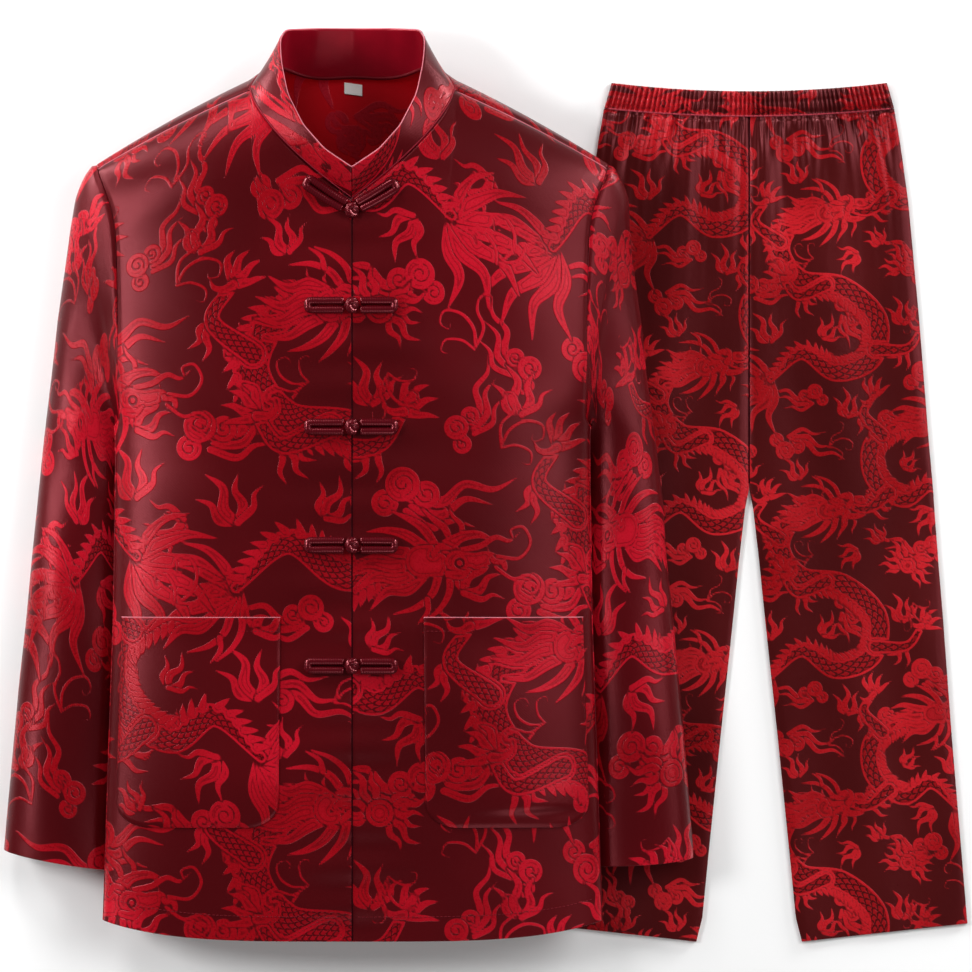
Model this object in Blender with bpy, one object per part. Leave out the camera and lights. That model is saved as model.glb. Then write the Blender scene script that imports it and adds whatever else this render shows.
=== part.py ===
"""Jacket and trousers of a tai chi suit, laid out on a flat surface, in metres with +Z up.

The jacket keeps a softly filled, hollow form: a flat back, a rounded front, a stand collar
that is open at the neck, and two sleeves that are open at the cuffs. The trousers lie flat,
two layers thick, with their left leg under the jacket's right-hand sleeve. All the lengths
below are in millimetres and are turned into metres when a mesh is made.
"""

import math

import bpy
import numpy as np

for thing in list(bpy.data.objects):
    bpy.data.objects.remove(thing)

MM = 0.001
WALL = 2.0
SEAM = 0.3
JACKET_X = -120.0
TROUSERS_X = 238.0

# Jacket body
SIDE_Z = 48.0
FLAT_SHARE = 0.40
FRONT_ROLL, BACK_ROLL = 80.0, 40.0
SIDE_POWER = 2.6
HEM_Y, HEM_RISE = -409.0, 18.0
NECK_X, NECK_Y, NECK_DEPTH, NECK_POWER = 91.0, 357.0, 99.0, 0.66
NECK_SHARE = 0.40
RIDGE_X, RIDGE_Y, RIDGE_SLOPE, RIDGE_CURVE, RIDGE_NECK_RISE = 92.7, 365.0, 0.47, 0.0006, 36.0
SEAM_AT_NECK, SEAM_AT_SHOULDER = 9.0, 3.0
NECK_BACK_DROP = 31.5
SHOULDER_Y, UNDERARM_Y = 285.0, 55.0
ARMHOLE_FRONT, ARMHOLE_BACK = 0.08, 0.05
FRONT_ROWS, BACK_ROWS = 20, 22

# Columns: height up the jacket, half of its width there
BODY_WIDTH = np.array([
    (-409, 226.0), (-391, 225.0), (-247, 220.5), (-117, 216.0), (20, 214.0), (55, 214.5),
    (75, 220.0), (111, 226.5), (167, 229.0), (223, 231.0), (245, 234.0), (266, 242.0),
    (285, 250.0), (300, 252.0), (420, 252.0),
])
# Columns: height up the jacket, height of the front's crown over the surface
BODY_CROWN = np.array([(-409, 78.0), (-200, 90.0), (0, 95.0), (260, 92.0), (420, 90.0)])
# Columns: share of the column's distance from the centre front, crowded at neck and side
COLUMNS = np.array([
    0.0, 0.09, 0.18, 0.26, 0.32, 0.36, 0.40, 0.47, 0.56, 0.66, 0.75, 0.83, 0.90, 0.95, 0.98, 1.0,
])
BACK_COLUMNS = np.array([
    0.0, 0.12, 0.22, 0.30, 0.36, 0.40, 0.50, 0.60, 0.70, 0.80, 0.88, 0.94, 0.98, 1.0,
])

# Sleeves. Columns: height, outer edge's distance from the jacket's centre (left, right)
SLEEVE_OUTER = np.array([
    (-328, 315.0, 307.0), (-283, 311.0, 303.5), (-229, 306.0, 299.0), (-175, 301.0, 294.0),
    (-121, 295.0, 289.0), (-67, 290.0, 283.0), (-13, 284.5, 279.5), (41, 279.0, 273.0),
    (95, 272.5, 265.5), (149, 266.5, 260.0), (203, 258.5, 252.0), (230, 254.5, 249.5),
    (257, 249.5, 248.0), (268, 245.0, 244.0), (278, 240.0, 239.0), (288, 231.0, 231.0),
])
SLEEVE_INNER = np.array([
    (-346, 209.0), (-250, 205.0), (-150, 202.0), (-50, 202.0), (20, 206.0), (55, 213.0),
])
CUFF_OUTER_Y = (-328.0, -335.0)
CUFF_INNER_Y = (-346.0, -341.0)
CUFF_BOW = 4.0
SLEEVE_RINGS = 15
SLEEVE_EDGE_Z, SLEEVE_INNER_Z = 25.0, 14.0
SLEEVE_SWELL = 27.0
SLEEVE_CLEAR, SLEEVE_SEAM = 1.0, 0.5
SLEEVE_FLOOR = (0.0, 4.8)

# Collar. Columns: share of the way round from centre front to centre back, then x, y, z of its edge
COLLAR_TOP = np.array([
    (0.0, 0.0, 284.0, 111.0), (0.15, 25.2, 301.0, 108.0), (0.30, 44.1, 322.7, 101.0),
    (0.45, 58.5, 352.0, 90.0), (0.55, 64.5, 382.0, 76.0), (0.62, 66.0, 402.0, 60.0),
    (0.70, 61.0, 411.0, 42.0), (0.82, 35.0, 412.7, 24.0), (1.0, 0.0, 412.7, 17.0),
])
COLLAR_FRONT_SHARE, COLLAR_MITRE, COLLAR_TURN_GAP = 0.55, 0.8, 1.7
COLLAR_STEPS, COLLAR_ROWS = 18, 3

# Patch pockets on the fronts
POCKET_TOP_Y, POCKET_BOTTOM_Y = -118.5, -307.0
POCKET_INNER_SHARE, POCKET_OUTER_SHARE, POCKET_HALF_WIDTH = 0.297, 0.955, 219.0
POCKET_CORNER = 30.0
POCKET_ROWS = 11

# Frog closures. Columns: height of the knot, then how far each arm's end rises (left, right)
FROGS = np.array([
    (247.0, 27.0, 24.0), (161.5, 0.0, 0.0), (52.5, 0.0, 0.0), (-53.5, 0.0, 0.0), (-161.5, 0.0, 0.0),
])
CORD_RADIUS = 3.6
FROG_REACH = (43.0, 41.5)
KNOT_SIZE = (7.0, 8.4, 4.6)
CORD_SIDES, TURN_STEPS = 8, 6

# Bare label inside the neck
LABEL_WIDTH, LABEL_HEIGHT, LABEL_WALL, LABEL_TOP_Y = 16.0, 10.5, 1.0, 363.0

# Trousers. Columns: height, outer edge and inner edge as distances from the trousers' centre
LEG_EDGES = np.array([
    (-412, 199.0, 47.7), (-391, 197.0, 42.3), (-337, 192.5, 37.0), (-229, 183.5, 26.0),
    (-121, 175.5, 14.5), (-67, 171.0, 9.0), (-20, 167.5, 3.5), (-4, 166.5, 0.15),
    (41, 162.5, 0.15), (149, 154.0, 0.15), (257, 144.0, 0.15), (311, 136.5, 0.15),
    (342, 131.0, 0.15),
])
LEG_HEM_INNER_Y, LEG_HEM_OUTER_Y = -412.5, -396.0
LEG_WALL, LAYER_GAP, LEG_LIFT = 1.6, 0.4, 1.4
LEG_ROWS, LEG_COLUMNS = 13, 6
BAND_TOP_Y, BAND_TOP_DIP, BAND_TOP_X = 364.0, 7.5, 124.5
BAND_LOW_Y, BAND_LOW_DIP, BAND_LOW_X = 341.5, 7.0, 131.0
BAND_WALL, BAND_GATHER = 1.8, 1.5
GATHERS = 60


def reading(rows, at, column=1, spread=9.0):
    """Reads a column of a table at these heights, averaged over a little of its length."""
    at = np.asarray(at, float)
    shifts = np.linspace(-spread, spread, 5)
    return sum(np.interp(at + s, rows[:, 0], rows[:, column]) for s in shifts) / len(shifts)


def ridge_y(x):
    """Height of the shoulder's outline at this distance from the centre."""
    out = np.abs(x) - RIDGE_X
    slope = RIDGE_Y - RIDGE_SLOPE * out - RIDGE_CURVE * out * np.abs(out)
    neck = RIDGE_Y + RIDGE_NECK_RISE * (1 - (np.abs(x) / RIDGE_X) ** 2)
    return np.where(out > 0, slope, neck)


def roll_depth(length, radius):
    """How far down the cloth has come, and how far it has turned flat, after this length."""
    turn = np.minimum(length / radius, math.pi / 2)
    return radius * (1 - np.cos(turn)) + np.maximum(length - radius * math.pi / 2, 0), np.sin(turn)


def roll_length(depth, radius):
    """The length of cloth that brings it this far down from the shoulder's outline."""
    turn = np.arccos(1 - np.clip(depth / radius, 0, 1))
    return radius * turn + np.maximum(depth - radius, 0)


def armhole(y, extra):
    """Share of the body's half-width at which the armhole's edge runs, 1 below the underarm."""
    w = np.clip((SHOULDER_Y - y) / (SHOULDER_Y - UNDERARM_Y), 0, 1)
    cut = ARMHOLE_FRONT + extra * np.clip(w / 0.3, 0, 1)
    return 1 - cut * np.sqrt(1 - w**4)


def hem_y(share):
    return HEM_Y + HEM_RISE * np.abs(share) ** 4


def front_height(a, y):
    """Height of the front's outer face, from the shoulder's roll, the crown and the side."""
    x = a * reading(BODY_WIDTH, y)
    turned = roll_depth(roll_length(ridge_y(x) - y, FRONT_ROLL), FRONT_ROLL)[1]
    round_off = np.sqrt(np.clip(1 - np.abs(a) ** SIDE_POWER, 0, 1))
    return SIDE_Z + SEAM / 2 + (reading(BODY_CROWN, y) - SIDE_Z) * round_off * turned


def back_height(a, y):
    """Height of the back's outer face: level in the middle, rising to the side seam."""
    x = a * reading(BODY_WIDTH, y)
    turned = roll_depth(roll_length(ridge_y(x) - y, BACK_ROLL), BACK_ROLL)[1]
    out = np.clip((np.abs(a) - FLAT_SHARE) / (1 - FLAT_SHARE), 0, 1)
    return (SIDE_Z - SEAM / 2) * (1 - np.sqrt(1 - out**2) * turned)


def under_body(x, y):
    """Height of the body's underside over a place beside or below it, far up beyond its side."""
    a = np.abs(x) / reading(BODY_WIDTH, y)
    return np.where(a < 1, back_height(np.minimum(a, 1), y), 1000.0)


def column_x(share, y, extra):
    return share * armhole(y, extra) * reading(BODY_WIDTH, y)


def front_top(share):
    """Height of the front's upper edge: the neckline, then the shoulder seam."""
    y = np.full(np.shape(share), 300.0)
    for _ in range(30):
        x = np.minimum(column_x(share, y, 0.0), NECK_X)
        neck = NECK_Y - NECK_DEPTH * np.clip(1 - x / NECK_X, 0, 1) ** NECK_POWER
        full = column_x(share, y, 0.0)
        along = np.clip((full - NECK_X) / (230.0 - NECK_X), 0, 1)
        drop = SEAM_AT_NECK + (SEAM_AT_SHOULDER - SEAM_AT_NECK) * along + SEAM / 2
        shoulder = ridge_y(full) - drop
        y = 0.5 * y + 0.5 * np.where(share < NECK_SHARE, np.minimum(neck, shoulder), shoulder)
    return y


def front_surface(share, down, side):
    """A front's outer face at a share of its width and of its length from the upper edge."""
    share, down = np.broadcast_arrays(np.asarray(share, float), np.asarray(down, float))
    top = front_top(share)
    y = top + (hem_y(share) - top) * down
    a = share * armhole(y, 0.0)
    x = a * reading(BODY_WIDTH, y) + SEAM / 2 * (1 - share)
    return np.stack([JACKET_X + side * x, y, front_height(a, y)], -1)


def back_start(share):
    """Length of cloth from the shoulder's outline to the back's upper edge, negative in front."""
    share = np.abs(share)
    centre = roll_length(np.array(NECK_BACK_DROP), BACK_ROLL)
    neck = roll_length(np.array(SEAM_AT_NECK), FRONT_ROLL)
    along = np.clip((share - NECK_SHARE) / (1 - NECK_SHARE), 0, 1)
    drop = SEAM_AT_NECK + (SEAM_AT_SHOULDER - SEAM_AT_NECK) * along - SEAM / 2
    shoulder = -roll_length(drop, FRONT_ROLL)
    inside = centre - (centre + neck) * np.clip(share / NECK_SHARE, 0, 1) ** 3
    return np.where(share < NECK_SHARE, inside, shoulder)


def back_surface(share, along):
    """The back's outer face from its upper edge, over the shoulder's roll, to the hem."""
    share, along = np.broadcast_arrays(np.asarray(share, float), np.asarray(along, float))
    start = back_start(share)
    x_end = column_x(np.abs(share), hem_y(share), ARMHOLE_BACK)
    end = roll_length(ridge_y(x_end) - hem_y(share), BACK_ROLL)
    length = start + (end - start) * along
    in_front = length < 0
    depth = np.where(in_front, roll_depth(-length, FRONT_ROLL)[0], roll_depth(length, BACK_ROLL)[0])
    y = np.full(share.shape, 200.0)
    for _ in range(40):
        y = 0.3 * y + 0.7 * (ridge_y(column_x(np.abs(share), y, ARMHOLE_BACK)) - depth)
    a = np.abs(share) * armhole(y, ARMHOLE_BACK)
    z = np.where(in_front, front_height(a, y), back_height(a, y))
    x = np.sign(share) * a * reading(BODY_WIDTH, y)
    return np.stack([JACKET_X + x, y, z], -1)


def normals_of(surface, u, v, flip):
    """Outward directions of a surface, from two short steps along it."""
    step = 2e-4
    u0, u1 = np.maximum(u - step, u.min()), np.minimum(u + step, u.max())
    v0, v1 = np.maximum(v - step, 0), np.minimum(v + step, 1)
    n = np.cross(surface(u1, v) - surface(u0, v), surface(u, v1) - surface(u, v0))
    return flip * n / np.maximum(np.linalg.norm(n, axis=-1, keepdims=True), 1e-12)


def grid_normals(points, wrap):
    """Directions square to a grid of points, wrapping round its second axis when it is a tube."""
    along = np.gradient(points, axis=0)
    if wrap:
        across = np.roll(points, -1, 1) - np.roll(points, 1, 1)
    else:
        across = np.gradient(points, axis=1)
    n = np.cross(along, across)
    return n / np.maximum(np.linalg.norm(n, axis=-1, keepdims=True), 1e-12)


def material(name, color, roughness=0.5, sheen=0.0):
    made = bpy.data.materials.new(name)
    made.use_nodes = True
    shader = made.node_tree.nodes["Principled BSDF"]
    shader.inputs["Base Color"].default_value = (*color, 1.0)
    shader.inputs["Roughness"].default_value = roughness
    shader.inputs["Sheen Weight"].default_value = sheen
    return made


def solid(name, points, faces, made_of):
    """Makes one closed mesh, turned so that its faces look out."""
    points = np.asarray(points, float) * MM
    volume = 0.0
    for face in faces:
        for i in range(1, len(face) - 1):
            p, q, r = points[face[0]], points[face[i]], points[face[i + 1]]
            volume += float(np.dot(p, np.cross(q, r)))
    if volume < 0:
        faces = [tuple(reversed(face)) for face in faces]
    mesh = bpy.data.meshes.new(name)
    mesh.from_pydata([tuple(map(float, p)) for p in points], [], [tuple(map(int, f)) for f in faces])
    mesh.update()
    mesh.materials.append(made_of)
    placed = bpy.data.objects.new(name, mesh)
    bpy.context.scene.collection.objects.link(placed)
    return placed


def wall(name, outer, inner, made_of, wrap=False):
    """A cloth wall between two grids of points, closed round its edges."""
    rows, columns = outer.shape[:2]
    count = rows * columns
    index = np.arange(count).reshape(rows, columns)
    last = columns if wrap else columns - 1
    faces = []
    for i in range(rows - 1):
        for j in range(last):
            k = (j + 1) % columns
            faces.append((index[i, j], index[i + 1, j], index[i + 1, k], index[i, k]))
            faces.append((index[i, j] + count, index[i, k] + count, index[i + 1, k] + count,
                          index[i + 1, j] + count))
    for j in range(last):
        k = (j + 1) % columns
        faces.append((index[0, j], index[0, k], index[0, k] + count, index[0, j] + count))
        faces.append((index[-1, k], index[-1, j], index[-1, j] + count, index[-1, k] + count))
    if not wrap:
        for i in range(rows - 1):
            faces.append((index[i + 1, 0], index[i, 0], index[i, 0] + count, index[i + 1, 0] + count))
            faces.append((index[i, -1], index[i + 1, -1], index[i + 1, -1] + count,
                          index[i, -1] + count))
    points = np.concatenate([outer.reshape(-1, 3), inner.reshape(-1, 3)])
    return solid(name, points, faces, made_of)


def cord(name, path, radius, made_of):
    """A round cord along a path of points, with closed ends."""
    ahead = np.gradient(path, axis=0)
    ahead /= np.linalg.norm(ahead, axis=1, keepdims=True)
    side = np.cross(ahead, [0.0, 0.0, 1.0])
    side /= np.linalg.norm(side, axis=1, keepdims=True)
    up = np.cross(side, ahead)
    turn = np.arange(CORD_SIDES) * 2 * math.pi / CORD_SIDES + math.pi / CORD_SIDES
    reach = radius / math.cos(math.pi / CORD_SIDES)
    rings = (path[:, None] + reach * (side[:, None] * np.cos(turn)[None, :, None]
                                      + up[:, None] * np.sin(turn)[None, :, None]))
    index = np.arange(rings.shape[0] * CORD_SIDES).reshape(rings.shape[0], CORD_SIDES)
    faces = [tuple(index[0]), tuple(index[-1][::-1])]
    for i in range(len(path) - 1):
        for j in range(CORD_SIDES):
            k = (j + 1) % CORD_SIDES
            faces.append((index[i, k], index[i, j], index[i + 1, j], index[i + 1, k]))
    return solid(name, rings.reshape(-1, 3), faces, made_of)


DAMASK = material("jacket_damask", (0.13, 0.012, 0.016), 0.42, 0.4)
CLOTH = material("trouser_damask", (0.16, 0.018, 0.018), 0.48, 0.3)
CORDING = material("frog_cord", (0.10, 0.012, 0.018), 0.38, 0.2)
TAPE = material("label_tape", (0.72, 0.70, 0.66), 0.7)


def make_front(name, side):
    down = (np.arange(FRONT_ROWS + 1) / FRONT_ROWS) ** 1.4
    u, v = np.meshgrid(COLUMNS, down)
    outer = front_surface(u, v, side)
    n = normals_of(lambda a, b: front_surface(a, b, side), u, v, 1.0)
    n *= np.sign(n[..., 2:3].mean())
    inner = outer - WALL * n
    wall(name, outer, inner, DAMASK)
    return outer, inner


def make_back():
    share = np.concatenate([-BACK_COLUMNS[:0:-1], BACK_COLUMNS])
    along = (np.arange(BACK_ROWS + 1) / BACK_ROWS) ** 1.45
    u, v = np.meshgrid(share, along)
    outer = back_surface(u, v)
    n = normals_of(back_surface, u, v, 1.0)
    n *= -np.sign(n[-1, :, 2].mean())
    inner = outer - WALL * n
    wall("jacket_back", outer, inner, DAMASK)
    return outer, inner


def armhole_ring(front, back_edge):
    """The armhole's edge as one loop: down the front from the shoulder, up the back again."""
    reach = int(np.argmin(np.abs(front[0][:, -1, 1] - UNDERARM_Y)))
    low = int(np.argmin(np.abs(back_edge[0][:, 1] - UNDERARM_Y)))
    loops = []
    for grid, edge in zip(front, back_edge, strict=True):
        loops.append(np.concatenate([grid[: reach + 1, -1], edge[1:low][::-1]]))
    return loops[0], loops[1], reach


def make_sleeve(name, side, column, front, back_edge):
    """A sleeve from the armhole's edge to the cuff, as rings that turn from one to the other."""
    ring, ring_in, reach = armhole_ring(front, back_edge)
    count = len(ring)
    top_count = reach
    low_count = count - top_count
    start, under = ring[0], ring[reach]
    chord = under - start
    share = np.clip(((ring - start) @ chord) / (chord @ chord), 0, 1)
    bulge = ring - (start + share[:, None] * chord)
    turn = np.concatenate([np.linspace(0, math.pi, top_count + 1)[:-1],
                           np.linspace(math.pi, 2 * math.pi, low_count + 1)[:-1]])
    even = (1 - np.cos(turn)) / 2
    floor = SLEEVE_FLOOR[column]
    rings = [ring]
    for step in range(1, SLEEVE_RINGS + 1):
        s = step / SLEEVE_RINGS
        outer_y = start[1] + (CUFF_OUTER_Y[column] - start[1]) * s**1.05
        inner_y = under[1] + (CUFF_INNER_Y[column] - under[1]) * s**1.2
        blend = 1 - (1 - min(s / 0.32, 1)) ** 2
        edge_x = float(reading(SLEEVE_OUTER, outer_y, 1 + column, 4.0))
        tuck_x = float(np.interp(inner_y, SLEEVE_INNER[:, 0], SLEEVE_INNER[:, 1]))
        edge = np.array([JACKET_X + side * edge_x, outer_y, start[2] + (SLEEVE_EDGE_Z - start[2]) * blend])
        tuck = np.array([JACKET_X + side * tuck_x, inner_y,
                         under[2] + (SLEEVE_INNER_Z + floor - under[2]) * (1 - (1 - min(s / 0.25, 1)) ** 2)])
        place = share + (even - share) * blend
        line = edge + place[:, None] * (tuck - edge)
        swell = np.sqrt(np.clip(1 - (2 * even - 1) ** 2, 0, 1))
        flat = np.clip(1 - np.abs(2 * even - 1) ** 3, 0, 1) ** (1 / 3)
        rise = np.where(turn < math.pi, SLEEVE_SWELL * swell, -(line[:, 2] - floor) * flat)
        now = line + (1 - blend) * bulge
        now[:, 2] += blend * rise
        now[:, 1] -= CUFF_BOW * s**6 * swell
        x, y = now[:, 0] - JACKET_X, now[:, 1]
        low = under_body(x, y) - SLEEVE_CLEAR - 0.5
        now[:, 2] = np.where(y < under[1] - 1, np.minimum(now[:, 2], low), now[:, 2])
        now[:, 2] = np.maximum(now[:, 2], floor)
        rings.append(now)
    rings = np.array(rings)
    n = grid_normals(rings, True)
    middle = rings.mean(axis=1, keepdims=True)
    n *= np.sign(((rings - middle) * n).sum(-1).mean())
    inner = rings - WALL * n
    ahead = rings[1] - rings[0]
    ahead /= np.linalg.norm(ahead, axis=1, keepdims=True)
    rings[0] += SLEEVE_SEAM * ahead
    inner[0] = ring_in + SLEEVE_SEAM * ahead
    wall(name, rings, inner, DAMASK, wrap=True)
    return rings


def make_collar(name):
    """A stand collar: a band from the neck seam to its free upper edge, open at centre front."""
    half = np.linspace(0, 1, COLLAR_STEPS + 1)
    in_front = half <= COLLAR_FRONT_SHARE
    share = np.where(in_front, NECK_SHARE * half / COLLAR_FRONT_SHARE,
                     NECK_SHARE * (1 - half) / (1 - COLLAR_FRONT_SHARE))
    front_nodes, back_nodes = (c[c <= NECK_SHARE] for c in (COLUMNS, BACK_COLUMNS))
    front_edge, back_edge = front_surface(front_nodes, 0.0, 1), back_surface(back_nodes, 0.0)
    low = np.stack([np.where(in_front, np.interp(share, front_nodes, front_edge[:, c]),
                             np.interp(share, back_nodes, back_edge[:, c])) for c in range(3)], -1)
    low[:, 0] -= JACKET_X
    high = np.stack([reading(COLLAR_TOP, half, c, 0.02) for c in (1, 2, 3)], -1)
    high[0, 0] = high[-1, 0] = 0.0
    low[-1, 0] = 0.0
    low = np.concatenate([low, low[-2::-1] * [-1, 1, 1]])
    high = np.concatenate([high, high[-2::-1] * [-1, 1, 1]])
    ends = np.zeros(len(low))
    ends[0], ends[-1] = SEAM / 2, -SEAM / 2
    rise = (high - low) / np.linalg.norm(high - low, axis=1, keepdims=True)
    at_turn = np.exp(-((np.minimum(half, 1) - COLLAR_FRONT_SHARE - 0.04) / 0.07) ** 2)
    at_turn = np.concatenate([at_turn, at_turn[-2::-1]])
    low = low + (SEAM + 0.15 + COLLAR_TURN_GAP * at_turn)[:, None] * rise
    up = np.linspace(0, 1, COLLAR_ROWS + 1)[:, None, None]
    outer = low[None] + (high - low)[None] * up
    outer[:, 0, 0], outer[:, -1, 0] = SEAM / 2, -SEAM / 2
    n = grid_normals(outer, False)
    n *= np.sign(n[:, 2, 2].mean())
    inner = outer - WALL * n
    inner[0] += COLLAR_MITRE * rise
    inner[:, 0, 0], inner[:, -1, 0] = SEAM / 2, -SEAM / 2
    shift = np.array([JACKET_X, 0, 0])
    wall(name, outer + shift, inner + shift, DAMASK)


def on_front(x, y, side, lift):
    """Points this far out from a front's outer face, over places given in its plan."""
    a = np.abs(x) / reading(BODY_WIDTH, y)
    z = front_height(a, y)
    e = 0.5
    slope_x = (front_height((np.abs(x) + e) / reading(BODY_WIDTH, y), y) - z) / e
    slope_y = (front_height(np.abs(x) / reading(BODY_WIDTH, y + e), y + e) - z) / e
    n = np.stack([-slope_x * side, -slope_y, np.ones_like(z)], -1)
    n /= np.linalg.norm(n, axis=-1, keepdims=True)
    return np.stack([JACKET_X + side * np.abs(x), y, z], -1) + np.asarray(lift)[..., None] * n


def make_pocket(name, side):
    """A patch pocket with rounded lower corners, lying on a front."""
    shares = np.array([POCKET_INNER_SHARE, *COLUMNS[(COLUMNS > POCKET_INNER_SHARE) & (COLUMNS < POCKET_OUTER_SHARE)],
                       POCKET_OUTER_SHARE])
    share, q = np.meshgrid(shares, np.linspace(0, 1, POCKET_ROWS + 1))
    from_edge = np.minimum(share - shares[0], shares[-1] - share) * POCKET_HALF_WIDTH
    inside = np.clip(1 - from_edge / POCKET_CORNER, 0, 1)
    corner = POCKET_CORNER * (1 - np.sqrt(1 - inside**2))
    bottom = POCKET_BOTTOM_Y + 0.75 * corner
    y = POCKET_TOP_Y + (bottom - POCKET_TOP_Y) * q
    x = share * reading(BODY_WIDTH, y)
    low = on_front(x, y, side, np.full(x.shape, SEAM + 0.1))
    high = on_front(x, y, side, np.full(x.shape, SEAM + WALL))
    wall(name, high, low, DAMASK)


def make_frog(number, knot_y, ends):
    """A pair of hairpin loops of cord, one on each front, and the knot button between them."""
    gap = CORD_RADIUS + SEAM / 2
    for side, reach, end_rise, label in ((-1, FROG_REACH[0], ends[0], "left"), (1, FROG_REACH[1], ends[1], "right")):
        length = math.hypot(reach, end_rise)
        ahead = np.array([reach, end_rise]) / length
        start = KNOT_SIZE[0] + SEAM + 0.6
        straight = np.linspace(start, length - 2 * CORD_RADIUS - SEAM, 3)
        turn = np.linspace(math.pi / 2, -math.pi / 2, TURN_STEPS + 1)[1:-1]
        s = np.concatenate([straight, straight[-1] + gap * np.cos(turn), straight[::-1]])
        t = np.concatenate([np.full(3, gap), gap * np.sin(turn), np.full(3, -gap)])
        x = s * ahead[0] - t * ahead[1]
        y = knot_y + s * ahead[1] + t * ahead[0]
        path = on_front(x, y, side, np.full(x.shape, CORD_RADIUS * 1.09 + SEAM))
        cord(f"frog_{number}_{label}", path, CORD_RADIUS, CORDING)
    height = float(front_height(np.array(0.0), np.array(knot_y)))
    rows, sides = 6, 10
    points, faces = [(0, 0, KNOT_SIZE[2])], []
    for i in range(1, rows):
        for j in range(sides):
            polar, round_by = math.pi * i / rows, 2 * math.pi * j / sides
            points.append((KNOT_SIZE[0] * math.sin(polar) * math.cos(round_by),
                           KNOT_SIZE[1] * math.sin(polar) * math.sin(round_by),
                           KNOT_SIZE[2] * math.cos(polar)))
    points.append((0, 0, -KNOT_SIZE[2]))
    end = len(points) - 1
    for j in range(sides):
        k = (j + 1) % sides
        faces.append((0, 1 + j, 1 + k))
        faces.append((end, end - sides + k, end - sides + j))
        for i in range(rows - 2):
            a = 1 + i * sides
            faces.append((a + j, a + sides + j, a + sides + k, a + k))
    centre = np.array([JACKET_X, knot_y, height + KNOT_SIZE[2] + SEAM + 0.2])
    solid(f"frog_{number}_knot", np.array(points) + centre, faces, CORDING)


def make_label():
    x, y = np.meshgrid(np.linspace(-0.5, 0.5, 3) * LABEL_WIDTH, LABEL_TOP_Y - np.linspace(0, 1, 3) * LABEL_HEIGHT)
    z = back_height(np.abs(x) / reading(BODY_WIDTH, y), y) + WALL * 1.05 + SEAM + 0.3
    low = np.stack([JACKET_X + x, y, z], -1)
    wall("label", low + [0, 0, LABEL_WALL], low, TAPE)


def leg_edges(y):
    return reading(LEG_EDGES, y, 1, 4.0), np.interp(y, LEG_EDGES[:, 0], LEG_EDGES[:, 2])


def make_leg(name, side, back):
    """One flat panel of a trouser leg, from under the waistband to its slanted hem."""
    p, q = np.meshgrid(np.linspace(0, 1, LEG_COLUMNS + 1), np.linspace(0, 1, LEG_ROWS + 1))
    low_edge = BAND_LOW_Y - BAND_LOW_DIP * (1 - p**2) - SEAM - 0.1
    hem = LEG_HEM_INNER_Y + (LEG_HEM_OUTER_Y - LEG_HEM_INNER_Y) * p
    y = low_edge + (hem - low_edge) * q
    outer, inner = leg_edges(y)
    x = TROUSERS_X + side * (inner + (outer - inner) * p)
    if back:
        low = np.zeros_like(y)
    else:
        low = LEG_WALL + LAYER_GAP + LEG_LIFT * np.sqrt(np.sin(math.pi * p).clip(0, 1)) * (0.5 + 0.5 * np.cos(math.pi * q))
    points = np.stack([x, y, low], -1)
    wall(name, points + [0, 0, LEG_WALL], points, CLOTH)


def make_waistband():
    """The gathered elastic waistband: one ring, its front and back layers lying together."""
    per = 2 * GATHERS
    across = np.linspace(-1, 1, per + 1)
    ripple = np.where(np.arange(per + 1) % 2 == 0, 0.0, 1.0)
    rows = []
    inner_rows = []
    for top in (1.0, 0.0):
        half = BAND_LOW_X + (BAND_TOP_X - BAND_LOW_X) * top
        y_side = BAND_LOW_Y + (BAND_TOP_Y - BAND_LOW_Y) * top
        dip = BAND_LOW_DIP + (BAND_TOP_DIP - BAND_LOW_DIP) * top
        y = y_side - dip * (1 - across**2)
        x = TROUSERS_X + half * across
        low_out = BAND_GATHER * ripple
        low_in = low_out + BAND_WALL
        high_in = BAND_WALL + BAND_GATHER + LAYER_GAP + BAND_GATHER * ripple
        high_out = high_in + BAND_WALL
        outer = np.concatenate([np.stack([x, y, high_out], -1), np.stack([x, y, low_out], -1)[::-1]])
        trim = np.clip(across * (half - BAND_WALL) / half, -1, 1)
        xi = TROUSERS_X + half * trim
        inner = np.concatenate([np.stack([xi, y, high_in], -1), np.stack([xi, y, low_in], -1)[::-1]])
        rows.append(outer)
        inner_rows.append(inner)
    wall("waistband", np.array(rows), np.array(inner_rows), CLOTH, wrap=True)


left_front = make_front("front_left", -1)
right_front = make_front("front_right", 1)
back = make_back()
make_sleeve("sleeve_left", -1, 0, left_front, (back[0][:, 0], back[1][:, 0]))
make_sleeve("sleeve_right", 1, 1, right_front, (back[0][:, -1], back[1][:, -1]))
make_collar("collar")
make_pocket("pocket_left", -1)
make_pocket("pocket_right", 1)
for count, (height, rise_left, rise_right) in enumerate(FROGS, 1):
    make_frog(count, height, (rise_left, rise_right))
make_label()
make_leg("trouser_front_left", -1, False)
make_leg("trouser_front_right", 1, False)
make_leg("trouser_back_left", -1, True)
make_leg("trouser_back_right", 1, True)
make_waistband()
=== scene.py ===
"""A red dragon-damask tai chi suit laid out on a pale floor, seen from straight above.

The jacket is softly filled and hollow, the trousers lie flat under its right-hand sleeve. Every
visible piece is a numpy surface worked out from the suit's sizes. Lengths are in millimetres until
a mesh is made. The damask is drawn as tapered strokes in one repeat, kept on the cloth as distances
in millimetres, and coloured by the material.
"""
import math
from functools import partial

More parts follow.
